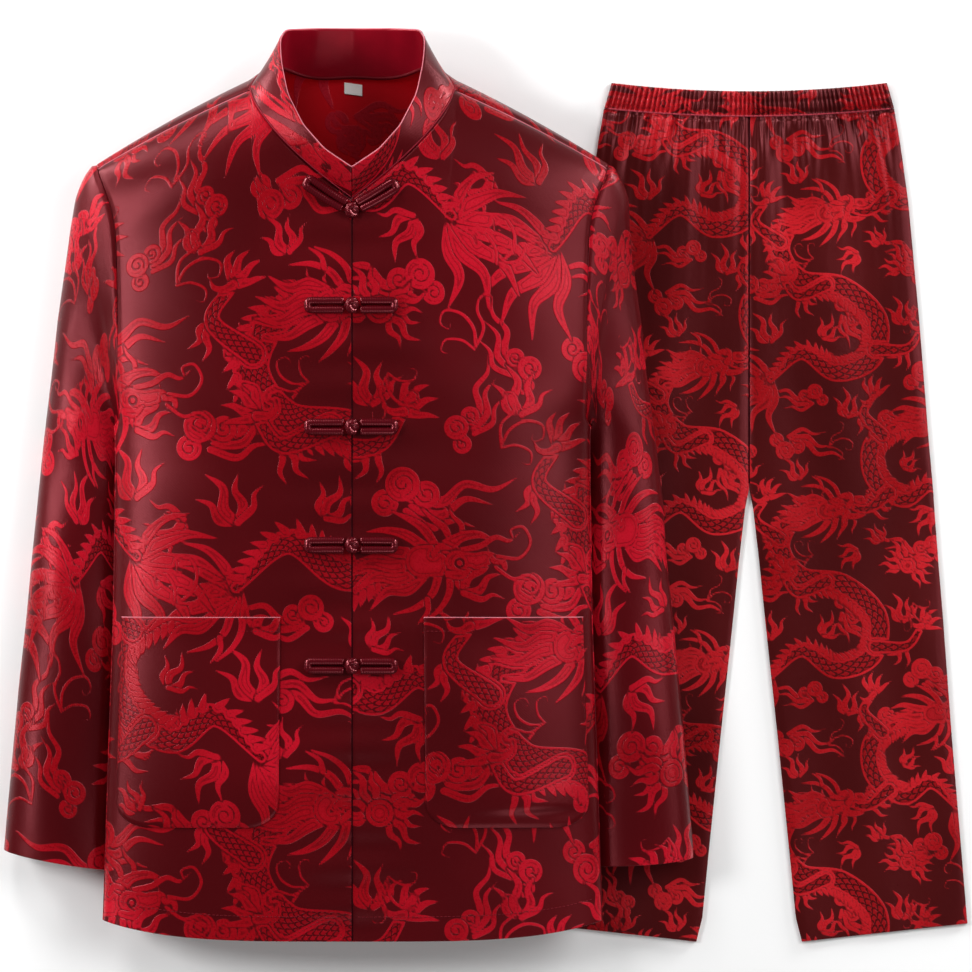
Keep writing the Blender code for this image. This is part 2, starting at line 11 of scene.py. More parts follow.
import bmesh
import bpy
import numpy as np
from bpy.props import FloatProperty, FloatVectorProperty, IntProperty, PointerProperty
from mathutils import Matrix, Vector


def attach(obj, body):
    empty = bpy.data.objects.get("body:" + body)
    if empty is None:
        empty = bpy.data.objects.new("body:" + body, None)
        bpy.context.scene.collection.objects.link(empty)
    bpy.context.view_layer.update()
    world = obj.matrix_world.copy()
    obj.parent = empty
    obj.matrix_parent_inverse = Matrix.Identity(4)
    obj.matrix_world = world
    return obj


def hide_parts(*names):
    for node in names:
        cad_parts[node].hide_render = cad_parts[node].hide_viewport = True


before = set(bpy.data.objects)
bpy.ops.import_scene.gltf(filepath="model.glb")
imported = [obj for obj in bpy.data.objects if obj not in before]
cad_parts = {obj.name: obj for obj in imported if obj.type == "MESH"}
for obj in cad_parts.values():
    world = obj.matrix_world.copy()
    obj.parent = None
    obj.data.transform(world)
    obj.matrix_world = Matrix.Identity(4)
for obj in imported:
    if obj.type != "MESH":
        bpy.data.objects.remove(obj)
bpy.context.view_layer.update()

bl_info = {
    "name": "Tai Chi Suit",
    "version": (1, 0, 0),
    "blender": (4, 5, 0),
    "location": "View3D > Sidebar > Suit",
    "description": "Builds a laid-out tai chi jacket and trousers of dragon damask",
    "category": "Add Mesh",
}

MM = 0.001
TURN = 2 * math.pi
JACKET_X, TROUSERS_X = -120.0, 238.0
SEAM = 0.3

# Jacket, as height up it and half-width, and as height and crown
BODY_WIDTH = np.array([
    (-409, 226.0), (-391, 225.0), (-247, 220.5), (-117, 216.0), (20, 214.0), (55, 214.5),
    (75, 220.0), (111, 226.5), (167, 229.0), (223, 231.0), (245, 234.0), (266, 242.0),
    (285, 250.0), (300, 252.0), (420, 252.0),
])
BODY_CROWN = np.array([(-409, 78.0), (-200, 90.0), (0, 95.0), (260, 92.0), (420, 90.0)])
FLAT_SHARE, FRONT_ROLL, BACK_ROLL, SIDE_POWER = 0.40, 80.0, 40.0, 2.6
HEM_Y, HEM_RISE, HEM_STITCH = -409.0, 18.0, 22.0
NECK_X, NECK_Y, NECK_DEPTH, NECK_POWER, NECK_SHARE = 91.0, 357.0, 99.0, 0.66, 0.40
RIDGE_X, RIDGE_Y, RIDGE_SLOPE, RIDGE_CURVE, RIDGE_NECK_RISE = 92.7, 365.0, 0.47, 0.0006, 36.0
SEAM_AT_NECK, SEAM_AT_SHOULDER, NECK_BACK_DROP = 9.0, 3.0, 31.5
SHOULDER_X, SHOULDER_Y, UNDERARM_Y, ARMHOLE_FRONT, ARMHOLE_BACK = 230.0, 285.0, 55.0, 0.08, 0.05
FRONT_WIDE, FRONT_LONG, NECK_START = 232, 700, 300.0
BACK_HALF_COLUMNS, BACK_ROWS = 75, 170

# Sleeves, as height, then the outer edge's distance from the jacket's centre (left, right)
SLEEVE_OUTER = np.array([
    (-328, 315.0, 307.0), (-283, 311.0, 303.5), (-229, 306.0, 299.0), (-175, 301.0, 294.0),
    (-121, 295.0, 289.0), (-67, 290.0, 283.0), (-13, 284.5, 279.5), (41, 279.0, 273.0),
    (95, 272.5, 265.5), (149, 266.5, 260.0), (203, 258.5, 252.0), (230, 254.5, 249.5),
    (257, 249.5, 248.0), (268, 245.0, 244.0), (278, 240.0, 239.0), (288, 231.0, 231.0),
])
SLEEVE_INNER = np.array([
    (-346, 209.0), (-250, 205.0), (-150, 202.0), (-50, 202.0), (20, 206.0), (55, 213.0),
])
CUFF_OUTER_Y, CUFF_INNER_Y, CUFF_BOW = (-328.0, -335.0), (-346.0, -341.0), 4.0
SLEEVE_EDGE_Z, SLEEVE_INNER_Z, SLEEVE_SWELL, SLEEVE_CLEAR = 25.0, 14.0, 27.0, 1.3
SLEEVE_FLOOR = (0.0, 4.8)
SLEEVE_ARC, SLEEVE_LONG, SLEEVE_UNDER_COLUMNS, ARMHOLE_ROWS = 150, 600, 44, 500

# Collar, as share of the way round from centre front to centre back, then its edge's x, y, z
COLLAR_TOP = np.array([
    (0.0, 0.0, 284.0, 111.0), (0.15, 25.2, 301.0, 108.0), (0.30, 44.1, 322.7, 101.0),
    (0.45, 58.5, 352.0, 90.0), (0.55, 64.5, 382.0, 76.0), (0.62, 66.0, 402.0, 60.0),
    (0.70, 61.0, 411.0, 42.0), (0.82, 35.0, 412.7, 24.0), (1.0, 0.0, 412.7, 17.0),
])
COLLAR_FRONT_SHARE, COLLAR_COLUMNS, COLLAR_ROWS = 0.55, 118, 25

POCKET_TOP_Y, POCKET_BOTTOM_Y, POCKET_CORNER = -118.5, -307.0, 30.0
POCKET_SHARES, POCKET_HALF_WIDTH, POCKET_STITCH = (0.297, 0.955), 219.0, 12.0
POCKET_WIDE, POCKET_LONG, POCKET_AT, POCKET_LIFT = 150, 190, 216.0, 2.0

# Frogs, as height of the knot, then how far each arm's end rises (left, right)
FROGS = ((247.0, 27.0, 24.0), (161.5, 0.0, 0.0), (52.5, 0.0, 0.0), (-53.5, 0.0, 0.0), (-161.5, 0.0, 0.0))
CORD_RADIUS, FROG_REACH, KNOT_SIZE = 3.6, (43.0, 41.5), (7.0, 8.4, 4.6)
KNOT_CORD, KNOT_LOOP, KNOT_BALL, KNOT_TILT = 2.3, 0.66, 0.78, 0.95
CORD_POINTS, BEND_POINTS, BEND_SQUARE = 26, 21, 0.6

LABEL_HALF, LABEL_TOP_Y, LABEL_LONG, LABEL_SLANT, LABEL_LIFT = 8.0, 363.4, 10.0, 0.14, 2.5

# Trousers, as height, then outer and inner edge as distances from their centre
LEG_EDGES = np.array([
    (-412, 199.0, 47.7), (-391, 197.0, 42.3), (-337, 192.5, 37.0), (-229, 183.5, 26.0),
    (-121, 175.5, 14.5), (-67, 171.0, 9.0), (-20, 167.5, 3.5), (-4, 166.5, 0.15),
    (41, 162.5, 0.15), (149, 154.0, 0.15), (257, 144.0, 0.15), (311, 136.5, 0.15),
    (342, 131.0, 0.15),
])
LEG_HEM_INNER_Y, LEG_HEM_OUTER_Y, LEG_WALL, LAYER_GAP, LEG_LIFT = -412.5, -396.0, 1.6, 0.4, 1.4
LEG_WIDE, LEG_LONG, LEG_BACK_STEP, LEG_LOWEST = 165, 750, 5.0, 1.0
# Waistband's edges, as height at its sides, dip in its middle and half-width
BAND_TOP, BAND_LOW = np.array((364.0, 7.5, 124.5)), np.array((341.5, 7.0, 131.0))
BAND_HEIGHT, BAND_WALL, BAND_GATHER, BAND_ROWS, GATHERS, GATHER_COLUMNS = 22, 1.8, 1.5, 15, 60, 8

# How each edge of a grid is turned in, as pairs of millimetres: how far on, then how far in
SEAM_EDGE = ((0.10, 0.45), (0.10, 1.2), (-0.4, 2.0))
FREE_EDGE = ((0.15, 0.5), (0.15, 1.3), (-0.2, 1.9), (-7.0, 2.0))
LEG_SEAM_EDGE = ((0.05, 0.4), (0.0, 1.0), (-0.2, 1.5))
LEG_HEM_EDGE = (*LEG_SEAM_EDGE, (-8.0, 1.55))
LABEL_EDGE = ((0.1, 0.2), (0.0, 0.45))
# The reverse's depth below the face and its step in points, two walls' thickness, a piping's radius
REVERSE_DEPTH, REVERSE_EVERY, BACK_WALL, COLLAR_WALL, PIPING = 1.75, 4, 1.7, 1.8, 0.42


def linear(code):
    """An sRGB hex colour as linear red, green, blue and alpha."""
    parts = [int(code[i: i + 2], 16) / 255 for i in (1, 3, 5)]
    return (*(c / 12.92 if c <= 0.04045 else ((c + 0.055) / 1.055) ** 2.4 for c in parts), 1.0)


def colour_choice(name, code, description):
    """A colour property whose default is an sRGB hex colour."""
    return FloatVectorProperty(name=name, description=description, default=linear(code), subtype="COLOR",
                               size=4, min=0.0, max=1.0)


class SuitSettings(bpy.types.PropertyGroup):
    """Sizes and colours that all the pieces share."""

    side_height: FloatProperty(
        name="Side seam height", description="Height of the jacket's side seams above the floor",
        default=0.048, min=0.01, max=0.12, unit="LENGTH")
    cloth_step: FloatProperty(
        name="Mesh step", description="Distance between the points of the cloth that faces up",
        default=0.00167, min=0.001, max=0.012, unit="LENGTH", precision=5)
    fold_depth: FloatProperty(
        name="Fold depth", description="How deep the soft folds are, as a share of the photographed ones",
        default=1.0, min=0.0, max=3.0, subtype="FACTOR")
    jacket_repeat: FloatProperty(
        name="Jacket damask scale", description="Size of the jacket's repeat, against 0.40 by 0.48 m",
        default=0.94, min=0.3, max=3.0, subtype="FACTOR")
    trouser_repeat: FloatProperty(
        name="Trouser damask scale", description="Size of the trousers' repeat, against 0.40 by 0.48 m",
        default=0.56, min=0.3, max=3.0, subtype="FACTOR")
    leg_folds: IntProperty(
        name="Folds below the waistband", description="Number of gathers that run on into each leg",
        default=11, min=2, max=60)
    jacket_ground: colour_choice("Jacket ground", "#3c0306", "The jacket's dark ground between the figures")
    jacket_figure: colour_choice("Jacket figure", "#88040f", "The jacket's woven dragons, clouds and flames")
    trouser_ground: colour_choice("Trouser ground", "#370808", "The trousers' dark ground")
    trouser_figure: colour_choice("Trouser figure", "#8e0a10", "The trousers' woven figures")
    sheen_colour: colour_choice("Satin shine", "#ec7882", "Tint of the highlights on the satin threads")
    reverse_colour: colour_choice("Reverse", "#8e030b", "The cloth's reverse, inside neck, hem and cuffs")
    cord_colour: colour_choice("Cord", "#3c0309", "The frogs' rolled cord")
    tape_colour: colour_choice("Label tape", "#f4f2ee", "The bare label in the neck")
    floor_colour: colour_choice("Floor", "#f4f4f4", "The floor below the suit")


def settings():
    return bpy.context.scene.suit_settings


def size_of(key):
    """A length from the settings, in millimetres."""
    return getattr(settings(), key) / MM


# The suit's surfaces

def reading(rows, at, column=1, spread=9.0):
    """Reads a column of a table at these heights, averaged over a little of its length."""
    at = np.asarray(at, float)
    return sum(np.interp(at + s, rows[:, 0], rows[:, column]) for s in np.linspace(-spread, spread, 5)) / 5


def hump(at, middle, reach):
    """A smooth bump, 1 at its middle: e to the power of minus the square of the distance over the reach."""
    return np.exp(-(((at - middle) / reach) ** 2))


def eased(count, bend):
    """Places from 0 to 1 that lie closer towards 1: part a sine, part even."""
    even = np.linspace(0, 1, count)
    return bend * np.sin(even * math.pi / 2) + (1 - bend) * even


def ridge_y(x):
    """Height of the shoulder's outline: a slope from the neck, and a low arch across the neck."""
    out = np.abs(x) - RIDGE_X
    slope = RIDGE_Y - RIDGE_SLOPE * out - RIDGE_CURVE * out * np.abs(out)
    return np.where(out > 0, slope, RIDGE_Y + RIDGE_NECK_RISE * (1 - (np.abs(x) / RIDGE_X) ** 2))


def roll_depth(length, radius):
    """Drop and flatness of cloth that rolls over a quarter circle, then runs straight."""
    turn = np.minimum(length / radius, math.pi / 2)
    return radius * (1 - np.cos(turn)) + np.maximum(length - radius * math.pi / 2, 0), np.sin(turn)


def roll_length(depth, radius):
    """Length of cloth that rolls down to a depth: the quarter circle's arc, then the straight rest."""
    return radius * np.arccos(1 - np.clip(depth / radius, 0, 1)) + np.maximum(depth - radius, 0)


def shoulder_turn(x, y, radius):
    """How level the cloth lies below the shoulder's outline: 0 at it, 1 past the roll."""
    return roll_depth(roll_length(ridge_y(x) - y, radius), radius)[1]


def armhole(y, extra):
    """Share of the half-width where the armhole lies: 1 less its depth times a rounded profile."""
    w = np.clip((SHOULDER_Y - y) / (SHOULDER_Y - UNDERARM_Y), 0, 1)
    return 1 - (ARMHOLE_FRONT + extra * np.clip(w / 0.3, 0, 1)) * np.sqrt(1 - w**4)


def hem_y(share):
    """Height of the hem: it rises towards the side seams with the fourth power of the share."""
    return HEM_Y + HEM_RISE * np.abs(share) ** 4


def front_folds(x, y):
    """Height of the fronts' soft folds in millimetres: long shallow waves, puckers beside each frog, the
    pockets' sag, deeper on the right, and drag lines below the armholes.

    x is the distance from the centre front, negative on the jacket's left-hand front.
    """
    out = np.abs(x)
    waves = 0.9 * np.sin(x / 31 + y / 83) * np.sin(y / 57 - x / 120) + 0.5 * np.sin(y / 21 + x / 26)
    knots = sum(hump(y, knot_y, 15) for knot_y, _, _ in FROGS)
    puckers = (0.9 * np.cos((y - FROGS[1][0]) * TURN / 36) - 1.1 * knots) * hump(out, 0, 52)
    low = y + 288 - 0.06 * (out - 150)
    sag = 2.0 * hump(out, 138, 52) * hump(y, -262, 34)
    sag += np.where(x > 0, 6.0, 0.6) * hump(out, 178, 40) * hump(low, 0, np.where(low > 0, 24, 5))
    drag = 1.6 * np.sin((0.55 * out - y) / 17) * hump(out, 165, 50) * hump(y, 70, 60)
    return settings().fold_depth * (waves + puckers + sag + drag)


def front_height(a, y, folds=True):
    """Height of the front's face: side seam plus crown, rounded off to the side and the shoulder."""
    x = a * reading(BODY_WIDTH, y)
    side = size_of("side_height")
    rounded = np.sqrt(np.clip(1 - np.abs(a) ** SIDE_POWER, 0, 1)) * shoulder_turn(x, y, FRONT_ROLL)
    z = side + SEAM / 2 + (reading(BODY_CROWN, y) - side) * rounded
    return z + front_folds(x, y) * rounded**2 if folds else z


def back_height(a, y):
    """Height of the back's outer face: level in the middle, rising to the side seam."""
    turned = shoulder_turn(a * reading(BODY_WIDTH, y), y, BACK_ROLL)
    out = np.clip((np.abs(a) - FLAT_SHARE) / (1 - FLAT_SHARE), 0, 1)
    return (size_of("side_height") - SEAM / 2) * (1 - np.sqrt(1 - out**2) * turned)


def under_body(x, y):
    """Height of the body's underside over a place, or far up where there is none."""
    a = np.abs(x) / reading(BODY_WIDTH, y)
    return np.where(a < 1, back_height(np.minimum(a, 1), y), 1000.0)


def column_x(share, y, extra=0.0):
    """Distance of a column from the centre: its share of the half-width, less the armhole's cut."""
    return share * armhole(y, extra) * reading(BODY_WIDTH, y)


def front_top(share):
    """Height of the front's upper edge for each column: the neckline, then the shoulder seam."""
    y = np.full(np.shape(share), NECK_START)
    for _ in range(30):
        full = column_x(share, y)
        neck = NECK_Y - NECK_DEPTH * np.clip(1 - np.minimum(full, NECK_X) / NECK_X, 0, 1) ** NECK_POWER
        along = np.clip((full - NECK_X) / (SHOULDER_X - NECK_X), 0, 1)
        drop = SEAM_AT_NECK + (SEAM_AT_SHOULDER - SEAM_AT_NECK) * along + SEAM / 2
        shoulder = ridge_y(full) - drop
        y = 0.5 * y + 0.5 * np.where(share < NECK_SHARE, np.minimum(neck, shoulder), shoulder)
    return y


def front_surface(share, down, side):
    """A front's face at each share of its width (columns) and of its length from the top (rows).

    Heights go evenly from the hem to 300 mm. What the upper edge lies beyond that comes on top, times
    the seventh power of the way up, so only the topmost rows follow the neckline.
    """
    top, hem = front_top(share), hem_y(share)
    y = hem + (NECK_START - hem) * (1 - down) + (top - NECK_START) * (1 - down) ** 7
    a = share * armhole(y, 0.0)
    x = a * reading(BODY_WIDTH, y) + SEAM / 2 * (1 - share)
    return np.stack([JACKET_X + side * x, y, front_height(side * a, y)], -1)


def back_start(share):
    """Length along the back at its upper edge: below the ridge at the neck, before it at the shoulder."""
    share = np.abs(share)
    centre = roll_length(np.array(NECK_BACK_DROP), BACK_ROLL)
    neck = roll_length(np.array(SEAM_AT_NECK), FRONT_ROLL)
    along = np.clip((share - NECK_SHARE) / (1 - NECK_SHARE), 0, 1)
    drop = SEAM_AT_NECK + (SEAM_AT_SHOULDER - SEAM_AT_NECK) * along - SEAM / 2
    inside = centre - (centre + neck) * np.clip(share / NECK_SHARE, 0, 1) ** 3
    return np.where(share < NECK_SHARE, inside, -roll_length(drop, FRONT_ROLL))


def back_surface(share, along):
    """The back's face from its upper edge, over the shoulder's roll, down to the hem.

    Rows are even shares of each column's length. A point's height is the shoulder's outline less the
    drop of a roll of that length, found in thirty damped steps, as the outline depends on the height.
    """
    share, along = np.broadcast_arrays(np.asarray(share, float), np.asarray(along, float))
    start, out = back_start(share), np.abs(share)
    x_end = column_x(out, hem_y(share), ARMHOLE_BACK)
    length = start + (roll_length(ridge_y(x_end) - hem_y(share), BACK_ROLL) - start) * along
    in_front = length < 0
    depth = np.where(in_front, roll_depth(-length, FRONT_ROLL)[0], roll_depth(length, BACK_ROLL)[0])
    y = np.full(share.shape, 200.0)
    for _ in range(30):
        y = 0.3 * y + 0.7 * (ridge_y(column_x(out, y, ARMHOLE_BACK)) - depth)
    a = out * armhole(y, ARMHOLE_BACK)
    z = np.where(in_front, front_height(a, y, False), back_height(a, y))
    return np.stack([JACKET_X + np.sign(share) * a * reading(BODY_WIDTH, y), y, z], -1)


def on_front(x, y, side, lift):
    """Points this far out from a front's face, over places given in its plan: the face's point plus the
    lift times its normal, whose slopes are taken over 0.8 mm.
    """
    x, e = np.abs(x), 0.8
    z = front_height(side * x / reading(BODY_WIDTH, y), y)
    slope_x = (front_height(side * (x + e) / reading(BODY_WIDTH, y), y) - z) / e
    slope_y = (front_height(side * x / reading(BODY_WIDTH, y + e), y + e) - z) / e
    n = unit(np.stack([-slope_x * side, -slope_y, np.ones_like(z)], -1))
    return np.stack([JACKET_X + side * x, y, z], -1) + np.asarray(lift)[..., None] * n


# Lines and grids of points

def unit(v):
    """Directions at a length of one: each divided by its length."""
    return v / np.maximum(np.linalg.norm(v, axis=-1, keepdims=True), 1e-12)


def line_length(line):
    """Distance of each point of a line from its first, along it."""
    return np.concatenate([[0], np.cumsum(np.linalg.norm(np.diff(line, axis=0), axis=1))])


def along_line(line, at):
    """Points of a line at these distances along it."""
    far = line_length(line)
    return np.stack([np.interp(at, far, line[:, k]) for k in range(line.shape[1])], -1)


def even_line(line, count):
    """A line again, as this many points at even steps along it."""
    return along_line(line, np.linspace(0, line_length(line)[-1], count))


def grid_normals(points, look="up", wrap=False):
    """Directions square to a grid of points that mostly look up, down or out from each row's middle.

    With wrap the grid's second axis closes on itself, as on a tube.
    """
    across = np.roll(points, -1, 1) - np.roll(points, 1, 1) if wrap else np.gradient(points, axis=1)
    normals = unit(np.cross(np.gradient(points, axis=0), across))
    ways = {"up": [0, 0, 1], "down": [0, 0, -1], "out": points - points.mean(axis=1, keepdims=True)}
    return normals * np.sign((normals * ways[look]).sum(-1).mean())


def distances(points, axis):
    """Length along each row or column of a grid, from its first point."""
    step = np.linalg.norm(np.diff(points, axis=axis), axis=-1)
    return np.pad(np.cumsum(step, axis=axis), [(1, 0), (0, 0)] if axis == 0 else [(0, 0), (1, 0)])


def turn_in(points, normals, carried, edges):
    """Adds rows or columns that turn each named edge inwards, as a seam allowance or a hem does.

    edges maps top, bottom, left or right to its pairs of millimetres. What the points carry goes on
    unchanged. The edge itself moves back a little and is doubled, which keeps the shading crisp there.
    """
    for edge, steps in edges.items():
        axis, first = int(edge in ("left", "right")), edge in ("top", "left")
        at, near = (0, 1) if first else (-1, -2)
        p, n = np.take(points, at, axis), np.take(normals, at, axis)
        on = unit(p - np.take(points, near, axis))
        rows = np.stack([p + on * a - n * b for a, b in ((-0.3, 0.0), (0.0, 0.03), *steps)], axis)
        rest = np.delete(points, at, axis)
        points = np.concatenate([np.flip(rows, axis), rest] if first else [rest, rows], axis)
        added = len(steps) + 1
        pad = [(0, 0)] * 3
        pad[axis] = (added, 0) if first else (0, added)
        normals, carried = np.pad(normals, pad, mode="edge"), np.pad(carried, pad, mode="edge")
    return points, normals, carried


def sink(points, normals, edges, depth, reach):
    """Draws the cloth in along sewn edges, by the depth times a hump of the distance to the edge, so
    each seam lies in a shallow groove.
    """
    down, across = distances(points, 0), distances(points, 1)
    far = {"top": down, "bottom": down[-1:] - down, "left": across, "right": across[:, -1:] - across}
    nearest = np.minimum.reduce([far[edge] for edge in edges])
    return points - normals * (depth * hump(nearest, 0, reach))[..., None]


def grid_faces(rows, columns, wrap=False, start=0):
    """Four-cornered faces between a grid's neighbours; with wrap the last column joins the first."""
    index = start + np.arange(rows * columns).reshape(rows, columns)
    right = np.roll(index, -1, 1) if wrap else index[:, 1:]
    left = index if wrap else index[:, :-1]
    return np.stack([left[:-1], left[1:], right[1:], right[:-1]], -1).reshape(-1, 4)


def facing(points, faces, outward):
    """The faces, turned over if most of them look against the given directions."""
    p = points.reshape(-1, 3)[faces]
    n = np.cross(p[:, 2] - p[:, 0], p[:, 3] - p[:, 1])
    return faces if (n * outward.reshape(-1, 3)[faces].mean(1)).sum() > 0 else faces[:, ::-1]


def wall(points, normals, body, thickness):
    """Closes a grid's faces into a wall: an inner face moved in by the thickness, and a rim round both.

    Gives back the points, the faces, and for each face 1 where it is on the inner side.
    """
    rows, columns = points.shape[:2]
    count = rows * columns
    ring = np.concatenate([np.arange(columns), np.arange(1, rows) * columns + columns - 1,
                           count - 2 - np.arange(columns - 1), np.arange(rows - 2, 0, -1) * columns])
    ahead = np.roll(ring, -1)
    both = np.concatenate([points.reshape(-1, 3), (points - normals * thickness).reshape(-1, 3)])
    rim = facing(both, np.stack([ring, ahead, ahead + count, ring + count], -1), both - both[:count].mean(0))
    return (both, np.concatenate([body, (body + count)[:, ::-1], rim]),
            np.repeat([0, 1, 0], (len(body), len(body), len(rim))))


# Meshes

def make_mesh(name, points, faces, materials, attributes=None, slots=None):
    """A mesh object from arrays: points in millimetres, four-cornered faces, point attributes."""
    points = np.ascontiguousarray(points.reshape(-1, 3) * MM, np.float32)
    faces = np.ascontiguousarray(faces.reshape(-1, 4), np.int32)
    mesh = bpy.data.meshes.new(name)
    mesh.vertices.add(len(points))
    mesh.vertices.foreach_set("co", points.ravel())
    mesh.loops.add(faces.size)
    mesh.loops.foreach_set("vertex_index", faces.ravel())
    mesh.polygons.add(len(faces))
    mesh.polygons.foreach_set("loop_start", np.arange(0, faces.size, 4, dtype=np.int32))
    mesh.polygons.foreach_set("use_smooth", np.ones(len(faces), bool))
    if slots is not None:
        mesh.polygons.foreach_set("material_index", np.asarray(slots, np.int32))
    for key, values in (attributes or {}).items():
        layer = mesh.attributes.new(key, "FLOAT", "POINT")
        layer.data.foreach_set("value", np.ascontiguousarray(values, np.float32).ravel())
    mesh.update(calc_edges=True)
    mesh.validate()
    for made_of in materials:
        mesh.materials.append(made_of)
    piece = bpy.data.objects.new(name, mesh)
    bpy.context.scene.collection.objects.link(piece)
    return piece


def finish_piece(piece, stands_for=None):
    """Rides the row's one body and stands for its CAD node."""
    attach(piece, "root")
    if stands_for:
        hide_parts(stands_for)
    return piece


CARRIED = ("motif", "along", "across", "cloth_u", "cloth_v")


def cloth(name, points, normals, u, v, edges, look="jacket", wrap=False,
          lining=None, finer=1.0, reverse=False):
    """One cloth piece from a grid of points: edges turned in, the damask's distances on its points,
    riding the row.

    u and v are places in the cloth in millimetres. lining is a look and a thickness: then the piece is
    a closed wall whose inner face has that look. reverse adds the other side of the cloth.
    """
    scale = getattr(settings(), look + "_repeat") * finer
    edge, along, across = read_repeat(shared("repeat"), u / scale, v / scale)
    carried = np.stack([edge * scale, along * scale, across * scale, u, v], -1)
    turned, outward, carried = turn_in(points, normals, carried, edges)
    faces = facing(turned, grid_faces(*turned.shape[:2], wrap), outward)
    carried, materials, slots = carried.reshape(-1, len(CARRIED)), [shared(look)], None
    if lining:
        turned, faces, slots = wall(turned, outward, faces, lining[1])
        carried, materials = np.tile(carried, (2, 1)), [shared(look), shared(lining[0])]
    attributes = dict(zip(CARRIED, carried.T, strict=True))
    piece = make_mesh(name + "_cloth", turned, faces, materials, attributes, slots)
    finish_piece(piece, name)
    parts = [reverse_side(name + "_reverse", points, normals, wrap)] if reverse else []


def reverse_side(name, points, normals, wrap):
    """The cloth's reverse: every few points of its face, moved in by its thickness and turned over."""
    rows, columns = (np.arange(0, count, REVERSE_EVERY) for count in points.shape[:2])
    rows = np.union1d(rows, len(points) - 1)
    columns = columns if wrap else np.union1d(columns, points.shape[1] - 1)
    chosen = np.ix_(rows, columns)
    inner = (points - normals * REVERSE_DEPTH)[chosen]
    faces = facing(inner, grid_faces(*inner.shape[:2], wrap), -normals[chosen])
    return finish_piece(make_mesh(name, inner, faces, [shared("reverse")]))


def tube(path, radius, sides, up=(0.0, 0.0, 1.0), closed_ends=True):
    """Rings of points round a path, with distance along and angle round it.

    Each point is the path's point plus the radius times (side cos t + high sin t). With closed_ends
    both ends draw in to a pole; otherwise the path is a loop whose last point is its first.
    """
    ahead = unit(np.gradient(path, axis=0))
    if not closed_ends:
        ahead[0] = ahead[-1] = unit(path[1] - path[-2])
    side = unit(np.cross(ahead, up))
    high = np.cross(side, ahead)
    turn = np.arange(sides) * TURN / sides
    radius = np.broadcast_to(radius, len(path))[:, None, None]
    round_path = side[:, None] * np.cos(turn)[:, None] + high[:, None] * np.sin(turn)[:, None]
    rings, far = path[:, None] + radius * round_path, line_length(path)
    if closed_ends:
        poles = path[0] - ahead[0] * 0.2, path[-1] + ahead[-1] * 0.2
        first, last = (np.tile(pole, (1, sides, 1)) for pole in poles)
        rings, far = np.concatenate([first, rings, last]), np.pad(far, 1, mode="edge")
    return rings, *np.broadcast_arrays(far[:, None], turn)


def tube_piece(name, tubes, look, stands_for=None):
    """Several tubes as one mesh, with how far along and round each point lies; doubled points merge."""
    faces, start = [], 0
    for rings, _, _ in tubes:
        faces.append(grid_faces(*rings.shape[:2], True, start)[:, ::-1])
        start += rings.shape[0] * rings.shape[1]
    points, far, turn = (np.concatenate([part.ravel() for part in parts]) for parts in zip(*tubes))
    piece = make_mesh(name, points, np.concatenate(faces), [shared(look)],
                      {"cord_along": far, "cord_round": turn})
    joined = bmesh.new()
    joined.from_mesh(piece.data)
    bmesh.ops.remove_doubles(joined, verts=joined.verts, dist=1e-7)
    joined.to_mesh(piece.data)
    joined.free()
    return finish_piece(piece, stands_for)


# The damask's repeat, in cells and millimetres
CELL = 0.8
TILE = (400.0, 480.0)
STROKE_STEP, OFF_BODY = 1.6, 99.0


def curve(points):
    """A smooth line through a few points (a Catmull-Rom spline), spaced evenly along its length."""
    p = np.asarray(points, float)
    p = np.concatenate([[2 * p[0] - p[1]], p, [2 * p[-1] - p[-2]]])
    t = np.linspace(0, len(points) - 1, 40 * len(points))
    i = np.minimum(t.astype(int), len(points) - 2)
    f = (t - i)[:, None]
    a, b, c, d = p[i], p[i + 1], p[i + 2], p[i + 3]
    line = 0.5 * (2 * b + (c - a) * f + (2 * a - 5 * b + 4 * c - d) * f**2 + (3 * b - a - 3 * c + d) * f**3)
    return even_line(line, max(int(line_length(line)[-1] / STROKE_STEP) + 2, 4))


def placed(points, at, angle, scale, flip):
    """Points of a motif's own drawing, turned, scaled and moved to their place in the repeat."""
    p = np.asarray(points, float) * [1, -1 if flip else 1] * scale
    c, s = math.cos(angle), math.sin(angle)
    return p @ np.array([[c, s], [-s, c]]) + at


